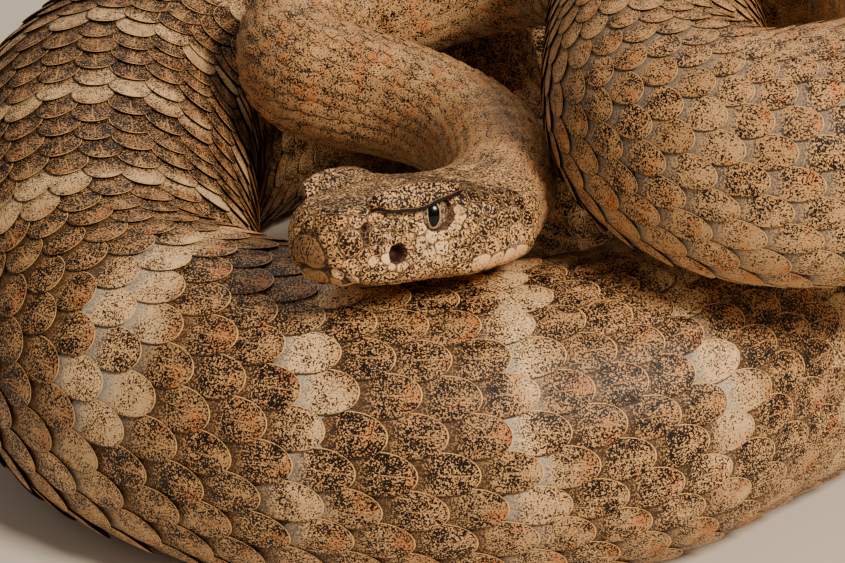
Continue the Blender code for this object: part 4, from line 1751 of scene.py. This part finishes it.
@dataclass
class Rattle:
    """Loose horny rings, each with a waist and a groove along its sides, smaller towards the tip."""

    body: Body
    segments: int = 8
    pitch: float = 2.9           # a ring's length
    width: float = 9.6
    height: float = 6.4
    waist: float = 0.76          # a ring's narrowest part, as a share of its widest
    taper: float = 0.36          # how much smaller the last ring is
    tip: float = 1.6             # the length of the rounded end
    groove: float = 0.10         # the depth of the groove and its half width, as shares of the ring's
    groove_width: float = 0.22
    sunk: float = 0.5            # how far the first ring is in the tail

    def build(self) -> bpy.types.Object:
        """The rattle as one closed mesh."""
        body, length = self.body, self.segments * self.pitch
        bpy.ops.object.select_all(action="DESELECT")
        bpy.ops.mesh.primitive_uv_sphere_add(segments=44, ring_count=150, radius=1)
        horn = bpy.context.object
        horn.name = horn.data.name = "rattle_rings"
        start = body.length - self.sunk
        axis, left, base = (np.array([np.interp(start, body.run, table[:, k]) for k in range(3)])
                            for table in (body.tangent, body.left, body.centre))
        up = np.cross(axis, left)
        for vertex in horn.data.vertices:
            x, y, z = vertex.co
            place = (1 - math.acos(max(-1.0, min(1.0, z))) / math.pi) * (length + self.tip)
            wide = max(math.hypot(x, y), 1e-6)
            x, y = (x / wide, y / wide) if wide > 1e-3 else (0.0, 0.0)
            lobe = math.sin(math.pi * (place / self.pitch % 1)) ** 0.55
            end = min(1, math.sqrt(max(length + self.tip - place, 0) / self.tip))
            size = (self.waist + (0.99 - self.waist) * lobe) * end * (1 - self.taper * place / length)
            groove = 1 - self.groove * math.exp(-(y / self.groove_width) ** 2) * lobe
            vertex.co = Vector((base + axis * place + left * (self.width / 2 * size * x * groove)
                                + up * (self.height / 2 * size * y * (0.86 + 0.14 * abs(x)))) * MM)
        alone(horn)
        face_outwards()
        bpy.ops.object.shade_smooth_by_angle(angle=math.radians(45))
        return horn


@dataclass(frozen=True)
class Lamp:
    """One soft lamp, sized and placed in metres."""

    name: str
    place: Row
    size: float
    power: float
    colour: Colour


@dataclass(frozen=True)
class Studio:
    """A pale floor, soft lights and the camera."""

    target: Row = (-12.6, -59.0, 36.0)      # what the camera looks at
    distance: float = 400.0
    elevation: float = 26.0      # of the camera, in degrees
    lens: float = 133.0
    near: float = 0.01           # where the camera begins to see, in metres
    lit: Row = (-0.01, -0.05, 0.03)     # where the lamps point, in metres
    lamps: tuple[Lamp, ...] = (Lamp("key", (0.42, -0.52, 0.66), 0.22, 11.5, (1.0, 0.89, 0.73)),
                               Lamp("fill", (-0.6, -0.5, 0.6), 0.7, 0.9, (1.0, 0.95, 0.88)),
                               Lamp("rim", (0.0, 0.6, 0.8), 0.6, 3.4, (1.0, 0.88, 0.74)))
    air: Colour = (0.9, 0.86, 0.8)
    glow: float = 0.16           # how strongly the air shines from all sides

    def light(self, lamp: Lamp) -> None:
        """Adds one lamp, which points at the snake.

        Args:
            lamp: The lamp.
        """
        bpy.ops.object.light_add(type="AREA", location=lamp.place)
        made = bpy.context.object
        made.name = lamp.name
        made.data.size = lamp.size
        made.data.energy = lamp.power
        made.data.color = lamp.colour
        made.rotation_euler = (Vector(self.lit) - Vector(lamp.place)).to_track_quat("-Z", "Y").to_euler()

    def build(self) -> None:
        """Sets the stage."""
        bpy.ops.mesh.primitive_plane_add(size=4)
        floor = bpy.context.object
        floor.name = "studio_floor"
        floor.data.materials.append(FloorFinish().make())
        for lamp in self.lamps:
            self.light(lamp)
        world = bpy.data.worlds.new("studio")
        bpy.context.scene.world = world
        world.use_nodes = True
        air = world.node_tree.nodes["Background"].inputs
        air["Color"].default_value = (*self.air, 1)
        air["Strength"].default_value = self.glow
        aim = Vector(self.target) * MM
        tilt = math.radians(self.elevation)
        place = aim + Vector((0, -math.cos(tilt), math.sin(tilt))) * self.distance * MM
        bpy.ops.object.camera_add(location=place)
        camera = bpy.context.object
        camera.name = "camera"
        camera.rotation_euler = (aim - place).to_track_quat("-Z", "Y").to_euler()
        camera.data.lens = self.lens
        camera.data.clip_start = self.near
        bpy.context.scene.camera = camera


def main() -> None:
    """Builds the snake piece by piece and stages it."""
    logging.basicConfig(level=logging.INFO, format="%(message)s")
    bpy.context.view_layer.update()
    body = Body()
    parts = ("head", "lower", "neck", "trunk", "tail")
    flesh = [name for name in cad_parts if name.split("_")[0] in parts]
    skin = Skin(body).build()
    keep(skin, SkinFinish().make(), flesh)
    coat = CoatFinish().make()
    for piece in DorsalScales(body).build():
        keep(piece, coat)
    keep(BellyPlates(body).build(), BellyFinish().make())
    head = HeadFinish().make()
    keep(HeadShields(body).build(skin), head)
    for side in Side:
        keep(BrowShields(body).build(side), head)
        ball, finish = Eyes(body).build(side)
        keep(ball, finish, ["eye_" + side.name.lower()])
    keep(Rattle(body).build(), RattleFinish().make(), ["rattle"])
    Studio().build()


if __name__ == "__main__":
    main()
